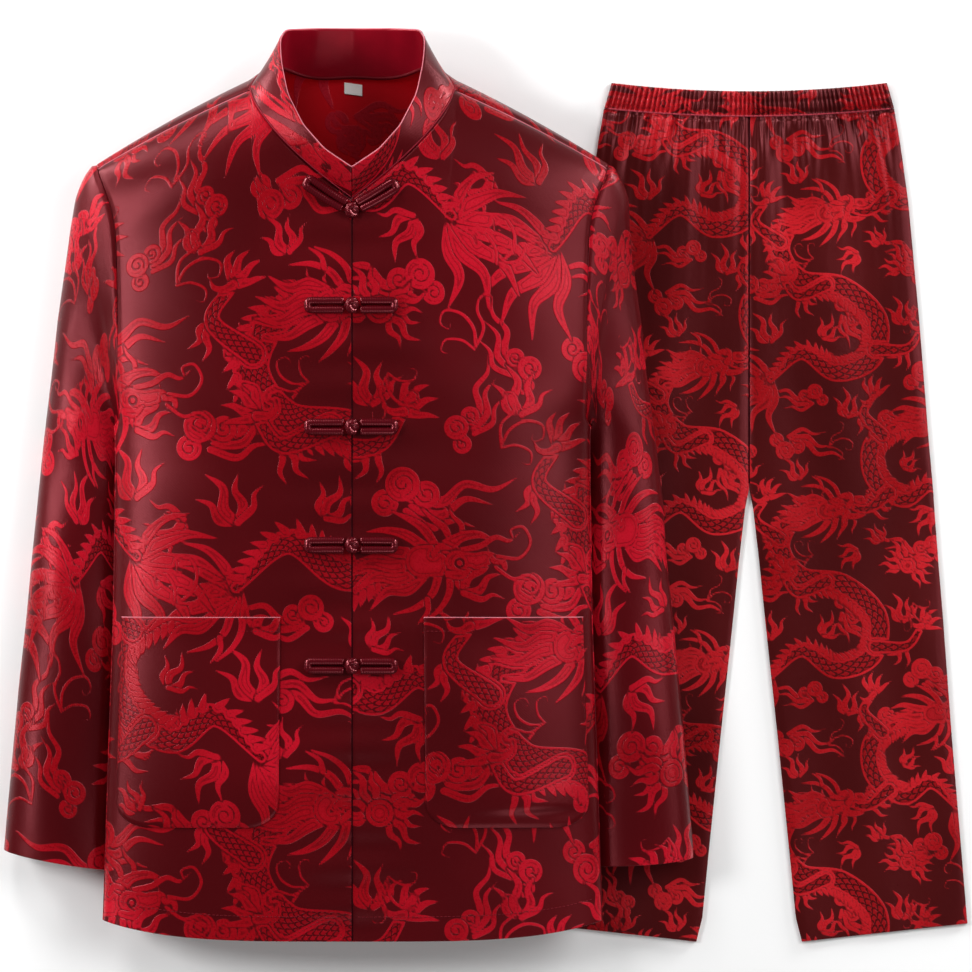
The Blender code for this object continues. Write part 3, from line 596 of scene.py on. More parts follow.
def lay(fields, line, radius, moat=1.3, scaled=False, cut=False):
    """Puts a tapered stroke into the repeat: the signed distance of circles swept along a line. A dark
    moat parts it from what lies under it. The repeat goes on half a height lower in the next column.
    """
    radius = np.interp(np.linspace(0, 1, len(line)), np.linspace(0, 1, len(radius)), radius)
    reach = radius.max() + moat + 3
    low, high = line.min(0) - reach, line.max(0) + reach
    xs, ys = (np.arange(math.floor(low[k] / CELL), math.ceil(high[k] / CELL)) for k in (0, 1))
    x, y = (xs + 0.5) * CELL, (ys[:, None] + 0.5) * CELL
    best = np.full((len(ys), len(xs)), 1e9)
    near = np.zeros(best.shape, int)
    for k, (line_x, line_y) in enumerate(line):
        d = np.hypot(x - line_x, y - line_y) - radius[k]
        closer = d < best
        best, near = np.where(closer, d, best), np.where(closer, k, near)
    rows, columns = fields["edge"].shape
    over = xs // columns
    place = (ys[:, None] - over * (rows // 2)) % rows, np.broadcast_to(xs - over * columns, best.shape)
    old = fields["edge"][place]
    if cut:
        fields["edge"][place] = np.maximum(old, -best)
        return
    fields["edge"][place] = np.minimum(np.maximum(old, moat - best), best)
    along, across = np.zeros(best.shape), np.full(best.shape, OFF_BODY)
    if scaled:
        ahead = unit(np.gradient(line, axis=0))[near]
        dx, dy = x - line[near, 0], y - line[near, 1]
        along = line_length(line)[near] + dx * ahead[..., 0] + dy * ahead[..., 1]
        across = dy * ahead[..., 0] - dx * ahead[..., 1]
    for key, values in (("along", along), ("across", across)):
        fields[key][place] = np.where(best < moat, values, fields[key][place])


def dot(fields, at, radius, moat=1.3, cut=False):
    """A round spot: a stroke of almost no length."""
    lay(fields, np.array([at, np.asarray(at) + 0.01]), (radius, radius), moat, cut=cut)


def strokes(fields, drawing, at, angle, scale=1.0, flip=False, moat=1.3):
    """Lays a motif given as a short list of strokes: control points, then radii along them."""
    for points, radius in drawing:
        lay(fields, curve(placed(points, at, angle, scale, flip)), np.asarray(radius, float) * scale, moat)


HEAD = (
    (((-6, 12), (-26, 24), (-46, 22), (-66, 36)), (5, 5.5, 4, 0.8)),
    (((-8, 6), (-32, 12), (-54, 6), (-80, 18)), (5, 6, 4, 0.8)),
    (((-8, -2), (-34, 0), (-58, -8), (-84, -2)), (5, 6, 4, 0.8)),
    (((-8, -8), (-30, -14), (-52, -24), (-74, -22)), (5, 5.5, 4, 0.8)),
    (((-2, -12), (-18, -28), (-36, -36), (-54, -38)), (5, 5, 3.4, 0.8)),
    (((8, -12), (0, -30), (-12, -42), (-26, -52)), (4, 4.4, 3, 0.8)),
    (((22, -12), (20, -26), (10, -38), (2, -50)), (3, 3.4, 2.4, 0.7)),
    (((34, -14), (36, -26), (30, -36), (28, -44)), (2.4, 2.6, 2, 0.7)),
    (((6, 15), (-4, 32), (-22, 42), (-44, 44)), (4.2, 3.6, 2.8, 1.0)),
    (((-10, 37), (-12, 48), (-24, 58)), (2.8, 2.2, 0.9)),
    (((16, 16), (12, 34), (0, 48), (-18, 58)), (3.8, 3.2, 2.4, 1.0)),
    (((-8, 0), (12, 3), (28, 5)), (15, 15, 11)),
    (((18, -9), (34, -15), (50, -14), (60, -8)), (7, 5, 4, 2)),
    (((32, -3), (50, -3), (66, -8), (78, -2), (90, -8)), (2.4, 3, 2.6, 2, 0.6)),
    (((24, 7), (42, 10), (56, 10), (63, 15)), (10, 8, 7, 4)),
    (((60, 13), (68, 16), (68, 24), (61, 24)), (3.4, 3, 2.4, 1.6)),
    (((64, 10), (84, 16), (98, 4), (94, -12), (82, -12), (82, -4)), (1.6, 1.8, 1.6, 1.5, 1.4, 1.0)),
    (((60, 20), (74, 34), (90, 34), (98, 44), (90, 52), (82, 46)), (1.6, 1.8, 1.6, 1.5, 1.4, 1.0)),
    (((14, 17), (26, 21), (36, 17)), (3, 4, 1.4)),
    (((4, -4), (12, -10), (22, -6)), (2.4, 3, 1.2)),
)
PAW = (
    (((0, 0), (12, 11), (22, 18), (34, 15)), (6, 4.6, 3.6, 0.7)),
    (((0, 0), (16, 4), (28, 6), (40, 0)), (6, 4.8, 3.6, 0.7)),
    (((0, 0), (14, -6), (26, -9), (36, -17)), (6, 4.6, 3.4, 0.7)),
    (((0, 0), (8, -13), (16, -22), (22, -32)), (6, 4.2, 3, 0.7)),
    (((0, 0), (-8, 8), (-10, 18), (-4, 26)), (5, 3.8, 2.8, 0.7)),
)
FLAME = (
    (((0, 0), (-16, 12), (-16, 30), (-28, 44)), (4, 5.4, 3.4, 0.7)),
    (((0, 0), (-6, 20), (4, 40), (-6, 62)), (5, 6, 4, 0.7)),
    (((0, 0), (14, 14), (14, 32), (26, 46)), (4, 5.4, 3.4, 0.7)),
    (((0, 0), (22, 6), (30, 18), (44, 22)), (3.4, 4, 2.6, 0.7)),
)
TAIL = (
    (((0, 0), (18, 30), (44, 44), (56, 76)), (7, 7.5, 5, 0.8)),
    (((0, 0), (30, 22), (60, 24), (86, 48)), (7, 8, 5, 0.8)),
    (((0, 0), (34, 8), (68, 2), (100, 16)), (7, 8, 5, 0.8)),
    (((0, 0), (32, -8), (64, -20), (98, -16)), (7, 8, 5, 0.8)),
    (((0, 0), (26, -20), (50, -42), (80, -48)), (7, 7.5, 5, 0.8)),
    (((0, 0), (10, -28), (24, -54), (48, -72)), (6, 7, 4.4, 0.8)),
    (((0, 0), (-6, -24), (-4, -48), (10, -70)), (5, 5.4, 3.6, 0.8)),
)
CLOUD_TAIL = (
    (((6, -8), (34, -14), (58, -2), (84, -12), (108, -6)), (4.4, 5, 4, 3, 0.7)),
    (((4, -14), (30, -26), (56, -16), (80, -26)), (4, 4.4, 3.2, 0.7)),
    (((-2, -16), (18, -36), (40, -34), (60, -44)), (3.4, 3.8, 2.6, 0.7)),
)
WHISKERS = (
    (((0, 0), (22, 16), (48, 16), (66, 0), (58, -16), (44, -12), (48, -4)),
     (1.6, 2.2, 2.4, 2.2, 1.8, 1.4, 0.8)),
    (((0, 0), (16, 28), (40, 36), (52, 52), (44, 64), (34, 58)), (1.6, 2.2, 2.2, 1.9, 1.5, 0.8)),
    (((0, 0), (20, -6), (34, -24), (26, -38), (16, -32)), (1.6, 2.0, 1.9, 1.5, 0.8)),
)
ELBOW = (
    (((0, 0), (-12, 8), (-22, 4), (-34, 12)), (3.4, 3.8, 2.6, 0.6)),
    (((0, 0), (-16, 0), (-26, -8), (-40, -6)), (3.4, 3.8, 2.6, 0.6)),
    (((0, 0), (-10, -10), (-16, -20), (-28, -24)), (3, 3.4, 2.4, 0.6)),
)
# A cloud's three curls, as x, y, size and the angle where each starts
CURLS = ((-20, -4, 11, 0.2), (20, -4, 11, 2.9), (0, 10, 14, 4.7))
# Where the motifs stand in the repeat, as place, angle, scale and whether it is mirrored
CLOUDS = (
    ((316, 34), 0.2, 1.0, False), ((40, 176), 0.5, 0.95, False), ((330, 236), 2.8, 0.9, True),
    ((96, 404), -0.3, 0.9, True), ((196, 140), -0.9, 0.8, False), ((260, 440), 0.4, 0.85, False),
    ((140, 4), 2.9, 0.75, True), ((372, 96), 1.3, 0.7, False), ((30, 392), 1.9, 0.7, True),
)
FLAMES = (
    ((286, 120), 0.3, 0.8), ((20, 96), 2.2, 0.8), ((150, 300), 0.9, 0.7), ((372, 420), -0.6, 0.8),
    ((210, 236), 2.4, 0.7), ((72, 92), 0.5, 0.9), ((28, 350), 0.2, 0.8), ((372, 356), 0.4, 0.9),
    ((286, 366), -0.5, 0.6), ((118, 350), 0.6, 0.7), ((156, 96), -0.4, 0.7), ((330, 300), 2.6, 0.8),
    ((196, 450), 0.1, 0.8), ((60, 250), -0.9, 0.7), ((250, 250), 0.9, 0.6),
)
LOOSE_WHISKERS = (
    ((8, 318), 0.5, 0.7, False), ((384, 172), 2.2, 0.7, True), ((164, 400), 0.2, 0.6, False),
    ((10, 14), 1.2, 0.7, True), ((300, 150), -0.9, 0.6, True), ((140, 226), 2.6, 0.55, False),
)
# Dragons, as spine, radii along it, legs (share of the spine, knee and foot, paw's angle, mirrored) and
# whether the head is mirrored
DRAGONS = (
    (((70, 30), (120, 74), (176, 44), (232, 66), (240, 128), (186, 178), (118, 190), (84, 240), (112, 292),
      (168, 300)),
     (5, 12, 17, 19, 19, 19, 19, 18, 17, 14),
     ((0.36, ((52, 2), (76, 34)), 0.8, False), (0.62, ((-46, -18), (-70, 10)), 2.4, True),
      (0.82, ((-40, 32), (-22, 66)), 1.2, False)), False),
    (((372, 300), (330, 340), (286, 318), (240, 350), (236, 404), (284, 440), (340, 452)),
     (5, 11, 15, 17, 17, 16, 13),
     ((0.4, ((-34, -26), (-66, -22)), 3.4, True), (0.72, ((-30, 34), (-14, 62)), 1.6, False)), True),
)
PEARL_AT, PEARL_SIZE, PEARL_ANGLE = np.array((292, 210)), 13, 1.2


def curl(at, size, start, way, shrink):
    """A line that winds inwards, one and a quarter turns: size times (1 - shrink times the way gone)."""
    a = np.linspace(0, 1.25 * TURN, max(int(1.25 * size * 4), 12))
    radius = size * (1 - shrink * a / a[-1])
    return np.stack([at[0] + radius * np.cos(start + way * a), at[1] + radius * np.sin(start + way * a)], -1)


def cloud(fields, at, angle, scale, flip):
    """A ruyi cloud: a tail of wavy licks, then three curls, each with a dark winding line in it."""
    strokes(fields, CLOUD_TAIL, at, angle, scale, flip)
    for x, y, size, start in CURLS:
        spot = placed([(x, y)], at, angle, scale, flip)[0]
        dot(fields, spot, size * scale * 1.18)
        winding = (spot, size * scale * 0.80, angle + start, -1 if flip else 1)
        lay(fields, curl(*winding, 0.78), (0.86, 0.86, 0.688, 0.602), 0.0)
        lay(fields, curl(*winding, 0.75), (0.9, 0.9), cut=True)


def pearl(fields, at, size, angle):
    """A round pearl with a ring inside it and flames about it."""
    for turn in (-1.9, -0.9, 0.9, 1.9):
        root = at + size * 0.9 * np.array([math.cos(angle + turn), math.sin(angle + turn)])
        strokes(fields, FLAME[:3], root, angle + turn - math.pi / 2, 0.62)
    dot(fields, at, size, 1.8)
    a = np.linspace(0, TURN, 60)[:, None]
    lay(fields, at + size * 0.66 * np.concatenate([np.cos(a), np.sin(a)], 1), (0.8, 0.8), cut=True)


def dragon(fields, spine, radius, legs, flip_head):
    """A long scaled body along a spine: tail fan, back fins, legs with paws and flames, then the head."""
    line = curve(spine)
    ahead = unit(np.gradient(line, axis=0))
    wide = np.interp(np.linspace(0, 1, len(line)), np.linspace(0, 1, len(radius)), radius)
    strokes(fields, TAIL, line[0], np.arctan2(-ahead[0, 1], -ahead[0, 0]), 0.95, flip_head)
    lay(fields, line, radius, 1.5, scaled=True)
    side = np.stack([-ahead[:, 1], ahead[:, 0]], -1) * (-1 if flip_head else 1)
    for k in range(6, len(line) - 14, 6):
        root = line[k] + side[k] * (wide[k] - 1.5)
        tip = line[k] + side[k] * (wide[k] + 9) - ahead[k] * 9
        lay(fields, np.linspace(root, tip, 8), (3.6, 2.6, 0.5), 0.9)
    for at, reach, turn, flip in legs:
        hip = line[int(at * (len(line) - 1))]
        knee, foot = hip + reach
        strokes(fields, ELBOW, knee, turn, 1.0, flip)
        lay(fields, curve([hip, knee, foot]), (11, 9.5, 7, 5.5), 1.4, scaled=True)
        strokes(fields, PAW, foot, turn, 0.9, flip)
    heading = math.atan2(ahead[-1, 1], ahead[-1, 0])
    strokes(fields, HEAD, line[-1], heading, 1.0, flip_head)
    eye = placed([(27, 9)], line[-1], heading, 1.0, flip_head)[0]
    dot(fields, eye, 5.2, 0.0, cut=True)
    dot(fields, eye, 2.7, 0.0)


def damask_repeat():
    """One repeat of the damask: two dragons among clouds, flames, curls and a flaming pearl.

    Its fields are the distance to the motif's edge, and the place along and across scaled bodies.
    """
    shape = (int(TILE[1] / CELL), int(TILE[0] / CELL))
    fields = {"edge": np.full(shape, 9.0), "along": np.zeros(shape), "across": np.full(shape, OFF_BODY)}
    for place in CLOUDS:
        cloud(fields, *place)
    for place in FLAMES:
        strokes(fields, FLAME, *place)
    for body in DRAGONS:
        dragon(fields, *body)
    pearl(fields, PEARL_AT, PEARL_SIZE, PEARL_ANGLE)
    for place in LOOSE_WHISKERS:
        strokes(fields, WHISKERS, *place, 0.8)
    return fields


def read_repeat(fields, u, v):
    """Reads the repeat's fields at places on the cloth, between its cells, in every repeat."""
    rows, columns = fields["edge"].shape
    x, y = u / CELL - 0.5, v / CELL - 0.5
    i, j = np.floor(x).astype(int), np.floor(y).astype(int)
    fx, fy = x - i, y - j

    def cell(di, dj):
        over = (i + di) // columns
        return (j + dj - over * (rows // 2)) % rows, (i + di) - over * columns

    corners = [(cell(0, 0), (1 - fx) * (1 - fy)), (cell(1, 0), fx * (1 - fy)),
               (cell(0, 1), (1 - fx) * fy), (cell(1, 1), fx * fy)]
    near = cell(np.round(fx).astype(int), np.round(fy).astype(int))
    smooth = {key: sum(fields[key][at] * share for at, share in corners) for key in fields}
    calm = np.ones(x.shape, bool)
    for key in ("along", "across"):
        calm &= np.ptp(np.stack([fields[key][at] for at, _ in corners]), axis=0) < 3
    return smooth["edge"], *(np.where(calm, smooth[key], fields[key][near]) for key in ("along", "across"))


# Materials

SMOOTH = {"interpolation_type": "SMOOTHSTEP"}
COLOUR = {"data_type": "RGBA", "out": 2}
# A dragon's scale, the line inside each figure's edge, the drawn weave and the cord's twist, in millimetres
SCALE_LONG, SCALE_WIDE, INNER_LINE, WEAVE, TWIST = 5.4, 5.6, 2.9, 1.4, 2.2


def node(tree, kind, *inputs, out=0, **setup):
    """Adds a node, sets it up, feeds its inputs and gives back one of its outputs.

    The kind is followed by its operation where it has one. Inputs are values or other nodes' outputs
    in the sockets' order, or pairs of socket and value.
    """
    kind, _, operation = kind.partition(" ")
    made = tree.nodes.new("ShaderNode" + kind)
    if operation:
        made.operation = operation
    for key, value in setup.items():
        setattr(made, key, value)
    for place, value in enumerate(inputs):
        if isinstance(value, tuple) and len(value) == 2:
            place, value = value
        socket = made.inputs[place]
        if isinstance(value, bpy.types.NodeSocket):
            tree.links.new(value, socket)
        else:
            socket.default_value = value
    return made.outputs[out] if made.outputs else made


def new_material(name):
    """An empty material, and the function that adds a node to it."""
    made = bpy.data.materials.new(name)
    made.use_nodes = True
    made.node_tree.nodes.clear()
    return made, partial(node, made.node_tree)


def surface(add, colour, roughness, shine, height, strength, depth, tint=None):
    """Ends a material: a relief of this strength and depth in metres, the shader and the output."""
    relief = add("Bump", ("Strength", strength), ("Distance", depth), ("Height", height))
    shader = add("BsdfPrincipled", ("Base Color", colour), ("Roughness", roughness),
                 ("Specular IOR Level", shine), ("Specular Tint", tint or settings().sheen_colour),
                 ("Normal", relief))
    add("OutputMaterial", shader)


def shade(a, b, share):
    """A colour part of the way from one to another."""
    return (*(a[i] + (b[i] - a[i]) * share for i in range(3)), 1.0)


def lit(colour, *gain):
    """A colour with a gain on its red, green and blue."""
    return (*(min(1.0, colour[i] * gain[i]) for i in range(3)), 1.0)


def damask(name, ground, figure):
    """Satin damask with a dark ground and a bright figure that has scales and dark inner lines.

    The figure is where the distance to the motif's edge is below zero. A line runs 2.9 mm inside that
    edge. Along a body, scales are arcs: |fract(along / 5.4) + 4 side^2 - 1| is small on a scale's rim,
    where side = fract(across / 5.6 + half of every other row) - 0.5.
    """
    # Real cloth: polyester jacquard damask. The figure is woven warp-face: long parallel floats lie flat
    # and shine, so the eye sees it brighter and glossier. The ground is weft-face in darker threads.
    # The highlights take the threads' own colour, so they are pink rather than white. A real thread is
    # about 0.15 mm; the diagonal of the weave is drawn at 1.4 mm, as coarse as it needs to be to show.
    made, add = new_material(name)
    motif, along, across, u, v = (add("Attribute", attribute_name=key, out="Fac") for key in CARRIED)
    inside = add("MapRange", motif, 0.45, -0.45, **SMOOTH)
    row = add("Math DIVIDE", along, SCALE_LONG)
    odd = add("Math FRACT", add("Math MULTIPLY", add("Math FLOOR", row), 0.5))
    side = add("Math FRACT", add("Math MULTIPLY_ADD", across, 1 / SCALE_WIDE, odd))
    side = add("Math SUBTRACT", side, 0.5)
    arc = add("Math MULTIPLY_ADD", add("Math MULTIPLY", side, side), 4.0, add("Math FRACT", row))
    off = add("Math ABSOLUTE", add("Math SUBTRACT", arc, 1.0))
    on_body = add("Math MULTIPLY", add("MapRange", across, 60.0, 50.0, **SMOOTH),
                  add("MapRange", motif, -1.6, -2.1, **SMOOTH))
    rim = add("Math MULTIPLY", add("MapRange", off, 0.42, 0.18, **SMOOTH), on_body)
    inner = add("Math ABSOLUTE", add("Math ADD", motif, INNER_LINE))
    inner = add("Math MULTIPLY", add("MapRange", inner, 0.7, 0.25, **SMOOTH), 0.45)
    lines = add("Math MAXIMUM", rim, inner)
    place = add("TexCoord", out="Object")
    broad = add("TexNoise", ("Vector", place), ("Scale", 7.0), ("Detail", 2.0))
    fine = add("TexNoise", ("Vector", place), ("Scale", 420.0), ("Detail", 3.0))
    thread = add("Math SINE", add("Math MULTIPLY", add("Math ADD", u, v), TURN / WEAVE))
    # The ground is lighter in random patches about a hand's width across, and the figure a little darker in
    # fine random specks
    patch = add("MapRange", broad, 0.35, 0.7, **SMOOTH)
    ground_mix = add("Mix", patch, (6, ground), (7, lit(ground, 1.4, 1.4, 1.4)), **COLOUR)
    speck = add("MapRange", fine, 0.3, 0.75, **SMOOTH)
    figure_mix = add("Mix", speck, (6, lit(figure, 0.88, 0.88, 0.88)), (7, figure), **COLOUR)
    # Painted sheen: in broad random patches the figure is coloured lighter and pinker
    shine = add("Math MULTIPLY", add("MapRange", broad, 0.42, 0.68, **SMOOTH), 0.7)
    # Painted highlight: the middle of a broad figure is coloured lighter and pinker still, as if its long
    # floats caught more light than the short ones at its edge
    painted_highlight_share = add("MapRange", motif, -2.0, -9.0, **SMOOTH)
    painted_highlight_share = add("Math MULTIPLY_ADD", painted_highlight_share, 0.18, shine, use_clamp=True)
    figure_mix = add("Mix", painted_highlight_share, (6, figure_mix), (7, lit(figure, 2.0, 4.5, 4.0)), **COLOUR)
    dull = add("Math MULTIPLY", on_body, 0.8)
    figure_mix = add("Mix", dull, (6, figure_mix), (7, shade(ground, figure, 0.66)), **COLOUR)
    figure_mix = add("Mix", lines, (6, figure_mix), (7, shade(ground, figure, 0.04)), **COLOUR)
    colour = add("Mix", inside, (6, ground_mix), (7, figure_mix), **COLOUR)
    rough = add("Math MULTIPLY_ADD", inside, -0.02, add("Math MULTIPLY_ADD", fine, 0.10, 0.25))
    height = add("Math MULTIPLY_ADD", lines, -0.5, inside)
    height = add("Math MULTIPLY_ADD", thread, 0.12, height)
    height = add("Math MULTIPLY_ADD", fine, 0.3, height)
    surface(add, colour, rough, 0.6, height, 0.55, 0.0003)
    return made


def rolled_cord(name, colour):
    """Satin cord with a slanting twist: sin(2 pi along / 2.2 + angle round it)."""
    # Real cord: a bias-cut strip of satin rolled into a tight tube. Its threads run slantwise round it, so
    # the eye sees a narrow soft highlight along its top, faintly broken by the slant.
    made, add = new_material(name)
    far, turn = (add("Attribute", attribute_name=key, out="Fac") for key in ("cord_along", "cord_round"))
    slant = add("Math SINE", add("Math MULTIPLY_ADD", far, TURN / TWIST, turn))
    # Painted highlight: the colour is half again lighter on the crests of the twist's relief
    share = add("MapRange", slant, -0.6, 1.0, **SMOOTH)
    mixed = add("Mix", share, (6, colour), (7, lit(colour, 1.5, 1.5, 1.5)), **COLOUR)
    surface(add, mixed, 0.22, 1.0, slant, 0.13, 0.0002)
    return made


def plain_weave(name, colour, roughness, shine):
    """Plain cloth: colour that varies over some centimetres, and a fine uneven relief of threads."""
    # Real cloth: the dull weft-face reverse of the damask, satin piping, tape or thread. Short floats
    # scatter light, so the eye sees an even, soft colour with hardly any pattern. Its threads of about
    # 0.15 mm are drawn as a noise of about 1.5 mm, as coarse as they need to be to show.
    made, add = new_material(name)
    place = add("TexCoord", out="Object")
    broad = add("TexNoise", ("Vector", place), ("Scale", 14.0), ("Detail", 4.0))
    fine = add("TexNoise", ("Vector", place), ("Scale", 600.0), ("Detail", 2.0))
    share = add("MapRange", broad, 0.3, 0.7, **SMOOTH)
    mixed = add("Mix", share, (6, lit(colour, 0.7, 0.7, 0.7)), (7, colour), **COLOUR)
    surface(add, mixed, roughness, shine, fine, 0.4, 0.0003)
    return made


MADE = {}


def shared(name):
    """The suit's materials and its damask repeat, each made once when a piece first asks for it."""
    s = settings()
    makers = {
        "repeat": (damask_repeat,),
        "jacket": (damask, "jacket_satin_damask", s.jacket_ground, s.jacket_figure),
        "trouser": (damask, "trouser_satin_damask", s.trouser_ground, s.trouser_figure),
        "cord": (rolled_cord, "rolled_satin_cord", s.cord_colour),
        # The dull side of the damask shows inside the hem and the cuffs
        "reverse": (plain_weave, "damask_reverse", s.reverse_colour, 0.5, 0.4),
        # Inside the neck that side shows the figure the other way round, dark on red and faint
        "back reverse": (damask, "damask_back_reverse", s.reverse_colour, linear("#7c0610")),
        # The collar is faced with the same satin, plain side out, and smooths the light a little more
        "facing": (plain_weave, "collar_facing_satin", linear("#86081a"), 0.3, 0.8),
        # Narrow pale pink tubes on the collar's edge, the pockets' mouths and the shoulder seams: rolled
        # edges and seams whose highlight is painted into their colour
        "edge": (plain_weave, "edge_piping_satin", linear("#d07884"), 0.4, 0.5),
        "seam": (plain_weave, "seam_piping_satin", linear("#8a2230"), 0.4, 0.5),
        # The waistband's real seam, its highlight painted into a pale pink colour
        "band seam": (plain_weave, "waistband_seam_satin", linear("#9c3440"), 0.35, 0.6),
        # Near-black cloth: painted shadow, in the gap between the fronts over the under flap and along the
        # trousers' centre seam
        "flap": (plain_weave, "under_flap_cloth", linear("#200206"), 0.7, 0.1),
        # Twill tape covers the neck seam inside
        "tape": (plain_weave, "neck_seam_tape", linear("#5c0812"), 0.5, 0.3),
        "label": (plain_weave, "woven_label_tape", s.tape_colour, 0.7, 0.1),
        # Polyester sewing thread, a little glossier and lighter than the cloth it sinks into
        "thread": (plain_weave, "sewing_thread", linear("#6e1620"), 0.45, 0.4),
    }
    if name not in MADE:
        maker, *given = makers[name]
        MADE[name] = maker(*given)
    return MADE[name]


# Pieces

def build_front(name, side, at_u, at_v):
    """A jacket front: columns from the centre edge to the side, rows from neck and shoulder to hem.

    Columns lie closer towards the side, rows closer towards the top, as the way down to the power 1.12.
    """
    columns, rows = (int(reach / size_of("cloth_step")) for reach in (FRONT_WIDE, FRONT_LONG))
    share, down = eased(columns + 1, 0.35), np.linspace(0, 1, rows + 1) ** 1.12
    points = front_surface(share[None, :], down[:, None], side)
    normals = grid_normals(points)
    for edge, depth, reach in (("top", 1.5, 3.0), ("right", 0.9, 2.4), ("left", 0.2, 1.6)):
        points = sink(points, normals, (edge,), depth, reach)
    cloth(name, points, normals, side * distances(points, 1) + at_u, points[..., 1] + at_v,
          {"top": SEAM_EDGE, "bottom": FREE_EDGE, "left": FREE_EDGE, "right": SEAM_EDGE},
          reverse=True)
    # The shoulder seam's highlight, painted as a thin pale pink tube along it
    shoulder = (points[1] + normals[1] * 0.3)[share >= NECK_SHARE]
    tube_piece(name + "_shoulder_seam_highlight", [tube(shoulder, PIPING, 8)], "edge")


def build_back():
    """The jacket's back: one wall whose reverse shows inside the neck and the hem. Its rows lie closer
    towards the top, as the way down to the power 1.35.
    """
    half = eased(BACK_HALF_COLUMNS, 0.5)
    along = np.linspace(0, 1, BACK_ROWS + 1) ** 1.35
    points = back_surface(np.concatenate([-half[:0:-1], half]), along[:, None])
    normals = grid_normals(points, "down")
    points = sink(points, normals, ("top",), 1.0, 3.0)
    u, middle = distances(points, 1), len(half) - 1
    cloth("jacket_back", points, normals, u - u[:, middle: middle + 1] + 90.0,
          points[:1, :, 1] - distances(points, 0) + 60.0, {},
          lining=("back reverse", BACK_WALL))


def build_sleeve(name, side, column):
    """A sleeve: rings that turn from the armhole's edge to the cuff, its upper arc finer than its lower.

    Each ring runs between an outer point on the sleeve's outline and an inner point tucked under the
    body's side. Between them the cloth swells up as a half ellipse. Below, it drops to the floor as the
    third root of 1 less the cube of the distance from the middle. It stays under the body.
    """
    step, floor = size_of("cloth_step"), SLEEVE_FLOOR[column]
    t = np.linspace(0, 1, ARMHOLE_ROWS)
    front = front_surface(np.ones(1)[None, :], t[:, None], side)[:, 0]
    back = back_surface(np.full(ARMHOLE_ROWS, float(side)), t)
    front, back = (edge[edge[:, 1] >= UNDERARM_Y] for edge in (front, back))
    top_count, low_count = int(SLEEVE_ARC / step), SLEEVE_UNDER_COLUMNS
    underarm = [[front[-1, 0], UNDERARM_Y, size_of("side_height")]]
    upper = even_line(np.concatenate([front, underarm]), top_count + 1)
    lower = even_line(np.concatenate([[upper[-1]], back[::-1], [upper[0]]]), low_count + 1)
    ring = np.concatenate([upper[:-1], lower[:-1]])
    start, under = upper[0], upper[-1]
    chord = under - start
    share = np.clip(((ring - start) @ chord) / (chord @ chord), 0, 1)
    bulge = ring - (start + share[:, None] * chord)
    turn = np.concatenate([np.linspace(0, math.pi, top_count + 1)[:-1],
                           np.linspace(math.pi, TURN, low_count + 1)[:-1]])
    even, on_top = (1 - np.cos(turn)) / 2, turn < math.pi
    swell = np.sqrt(np.clip(1 - (2 * even - 1) ** 2, 0, 1))
    flat = np.clip(1 - np.abs(2 * even - 1) ** 3, 0, 1) ** (1 / 3)
    rings = [ring]
    for s in np.linspace(0, 1, int(SLEEVE_LONG / (step * 1.15)) + 1)[1:]:
        outer_y = start[1] + (CUFF_OUTER_Y[column] - start[1]) * s**1.05
        inner_y = under[1] + (CUFF_INNER_Y[column] - under[1]) * s**1.2
        blend, sinking = (1 - (1 - min(s / by, 1)) ** 2 for by in (0.32, 0.25))
        edge = np.array([JACKET_X + side * float(reading(SLEEVE_OUTER, outer_y, 1 + column, 4.0)), outer_y,
                         start[2] + (SLEEVE_EDGE_Z - start[2]) * blend])
        tuck = np.array([JACKET_X + side * float(np.interp(inner_y, *SLEEVE_INNER.T)), inner_y,
                         under[2] + (SLEEVE_INNER_Z + floor - under[2]) * sinking])
        line = edge + (share + (even - share) * blend)[:, None] * (tuck - edge)
        now = line + (1 - blend) * bulge
        now[:, 2] += blend * np.where(on_top, SLEEVE_SWELL * swell, -(line[:, 2] - floor) * flat)
        now[:, 1] -= CUFF_BOW * s**6 * swell
        x, y = now[:, 0] - JACKET_X, now[:, 1]
        crease = np.sin((y + 0.6 * np.abs(x)) / 15) * hump(y, 60, 75) + 0.8 * np.sin(y / 33 + x / 19)
        now[:, 2] += settings().fold_depth * 1.3 * crease * swell * min(s / 0.1, 1) * on_top
        low = np.where(y < under[1] - 1, under_body(x, y) - SLEEVE_CLEAR, np.inf)
        now[:, 2] = np.maximum(np.minimum(now[:, 2], low), floor)
        rings.append(now)
    points = np.array(rings)
    normals = grid_normals(points, "out", True)
    points = sink(points, normals, ("top",), 0.8, 3.0)
    points[0] += 0.3 * unit(points[1] - points[0])
    at_u, at_v = (40.0, 150.0) if side < 0 else (250.0, 20.0)
    cloth(name, points, normals, distances(points, 1) * side + at_u,
          points[:1, :, 1] - distances(points, 0) + at_v, {"top": SEAM_EDGE, "bottom": FREE_EDGE},
          wrap=True, reverse=True)


def collar_lines(count):
    """The neck seam and the collar's free edge, from centre front all round to centre front. The seam is
    the upper edge of a front and of half the back, drawn in at the shoulder, then mirrored.
    """
    half = np.linspace(0, 1, count)
    in_front = half <= COLLAR_FRONT_SHARE
    share = NECK_SHARE * np.where(in_front, half / COLLAR_FRONT_SHARE, (1 - half) / (1 - COLLAR_FRONT_SHARE))
    low = np.where(in_front[:, None], front_surface(share, 0.0, 1), back_surface(share, 0.0))
    low[:, 0] -= JACKET_X
    high = np.stack([reading(COLLAR_TOP, half, c, 0.02) for c in (1, 2, 3)], -1)
    high[0, 0] = high[-1, 0] = low[-1, 0] = 0.0
    turned = hump(half, COLLAR_FRONT_SHARE + 0.04, 0.07)
    low = low + (0.3 - 1.2 * turned)[:, None] * unit(high - low)
    low, high = (np.concatenate([line, line[-2::-1] * [-1, 1, 1]]) for line in (low, high))
    for line in (low, high):
        line[0, 0], line[-1, 0] = SEAM / 2, -SEAM / 2
        line[:, 0] += JACKET_X
    return low, high


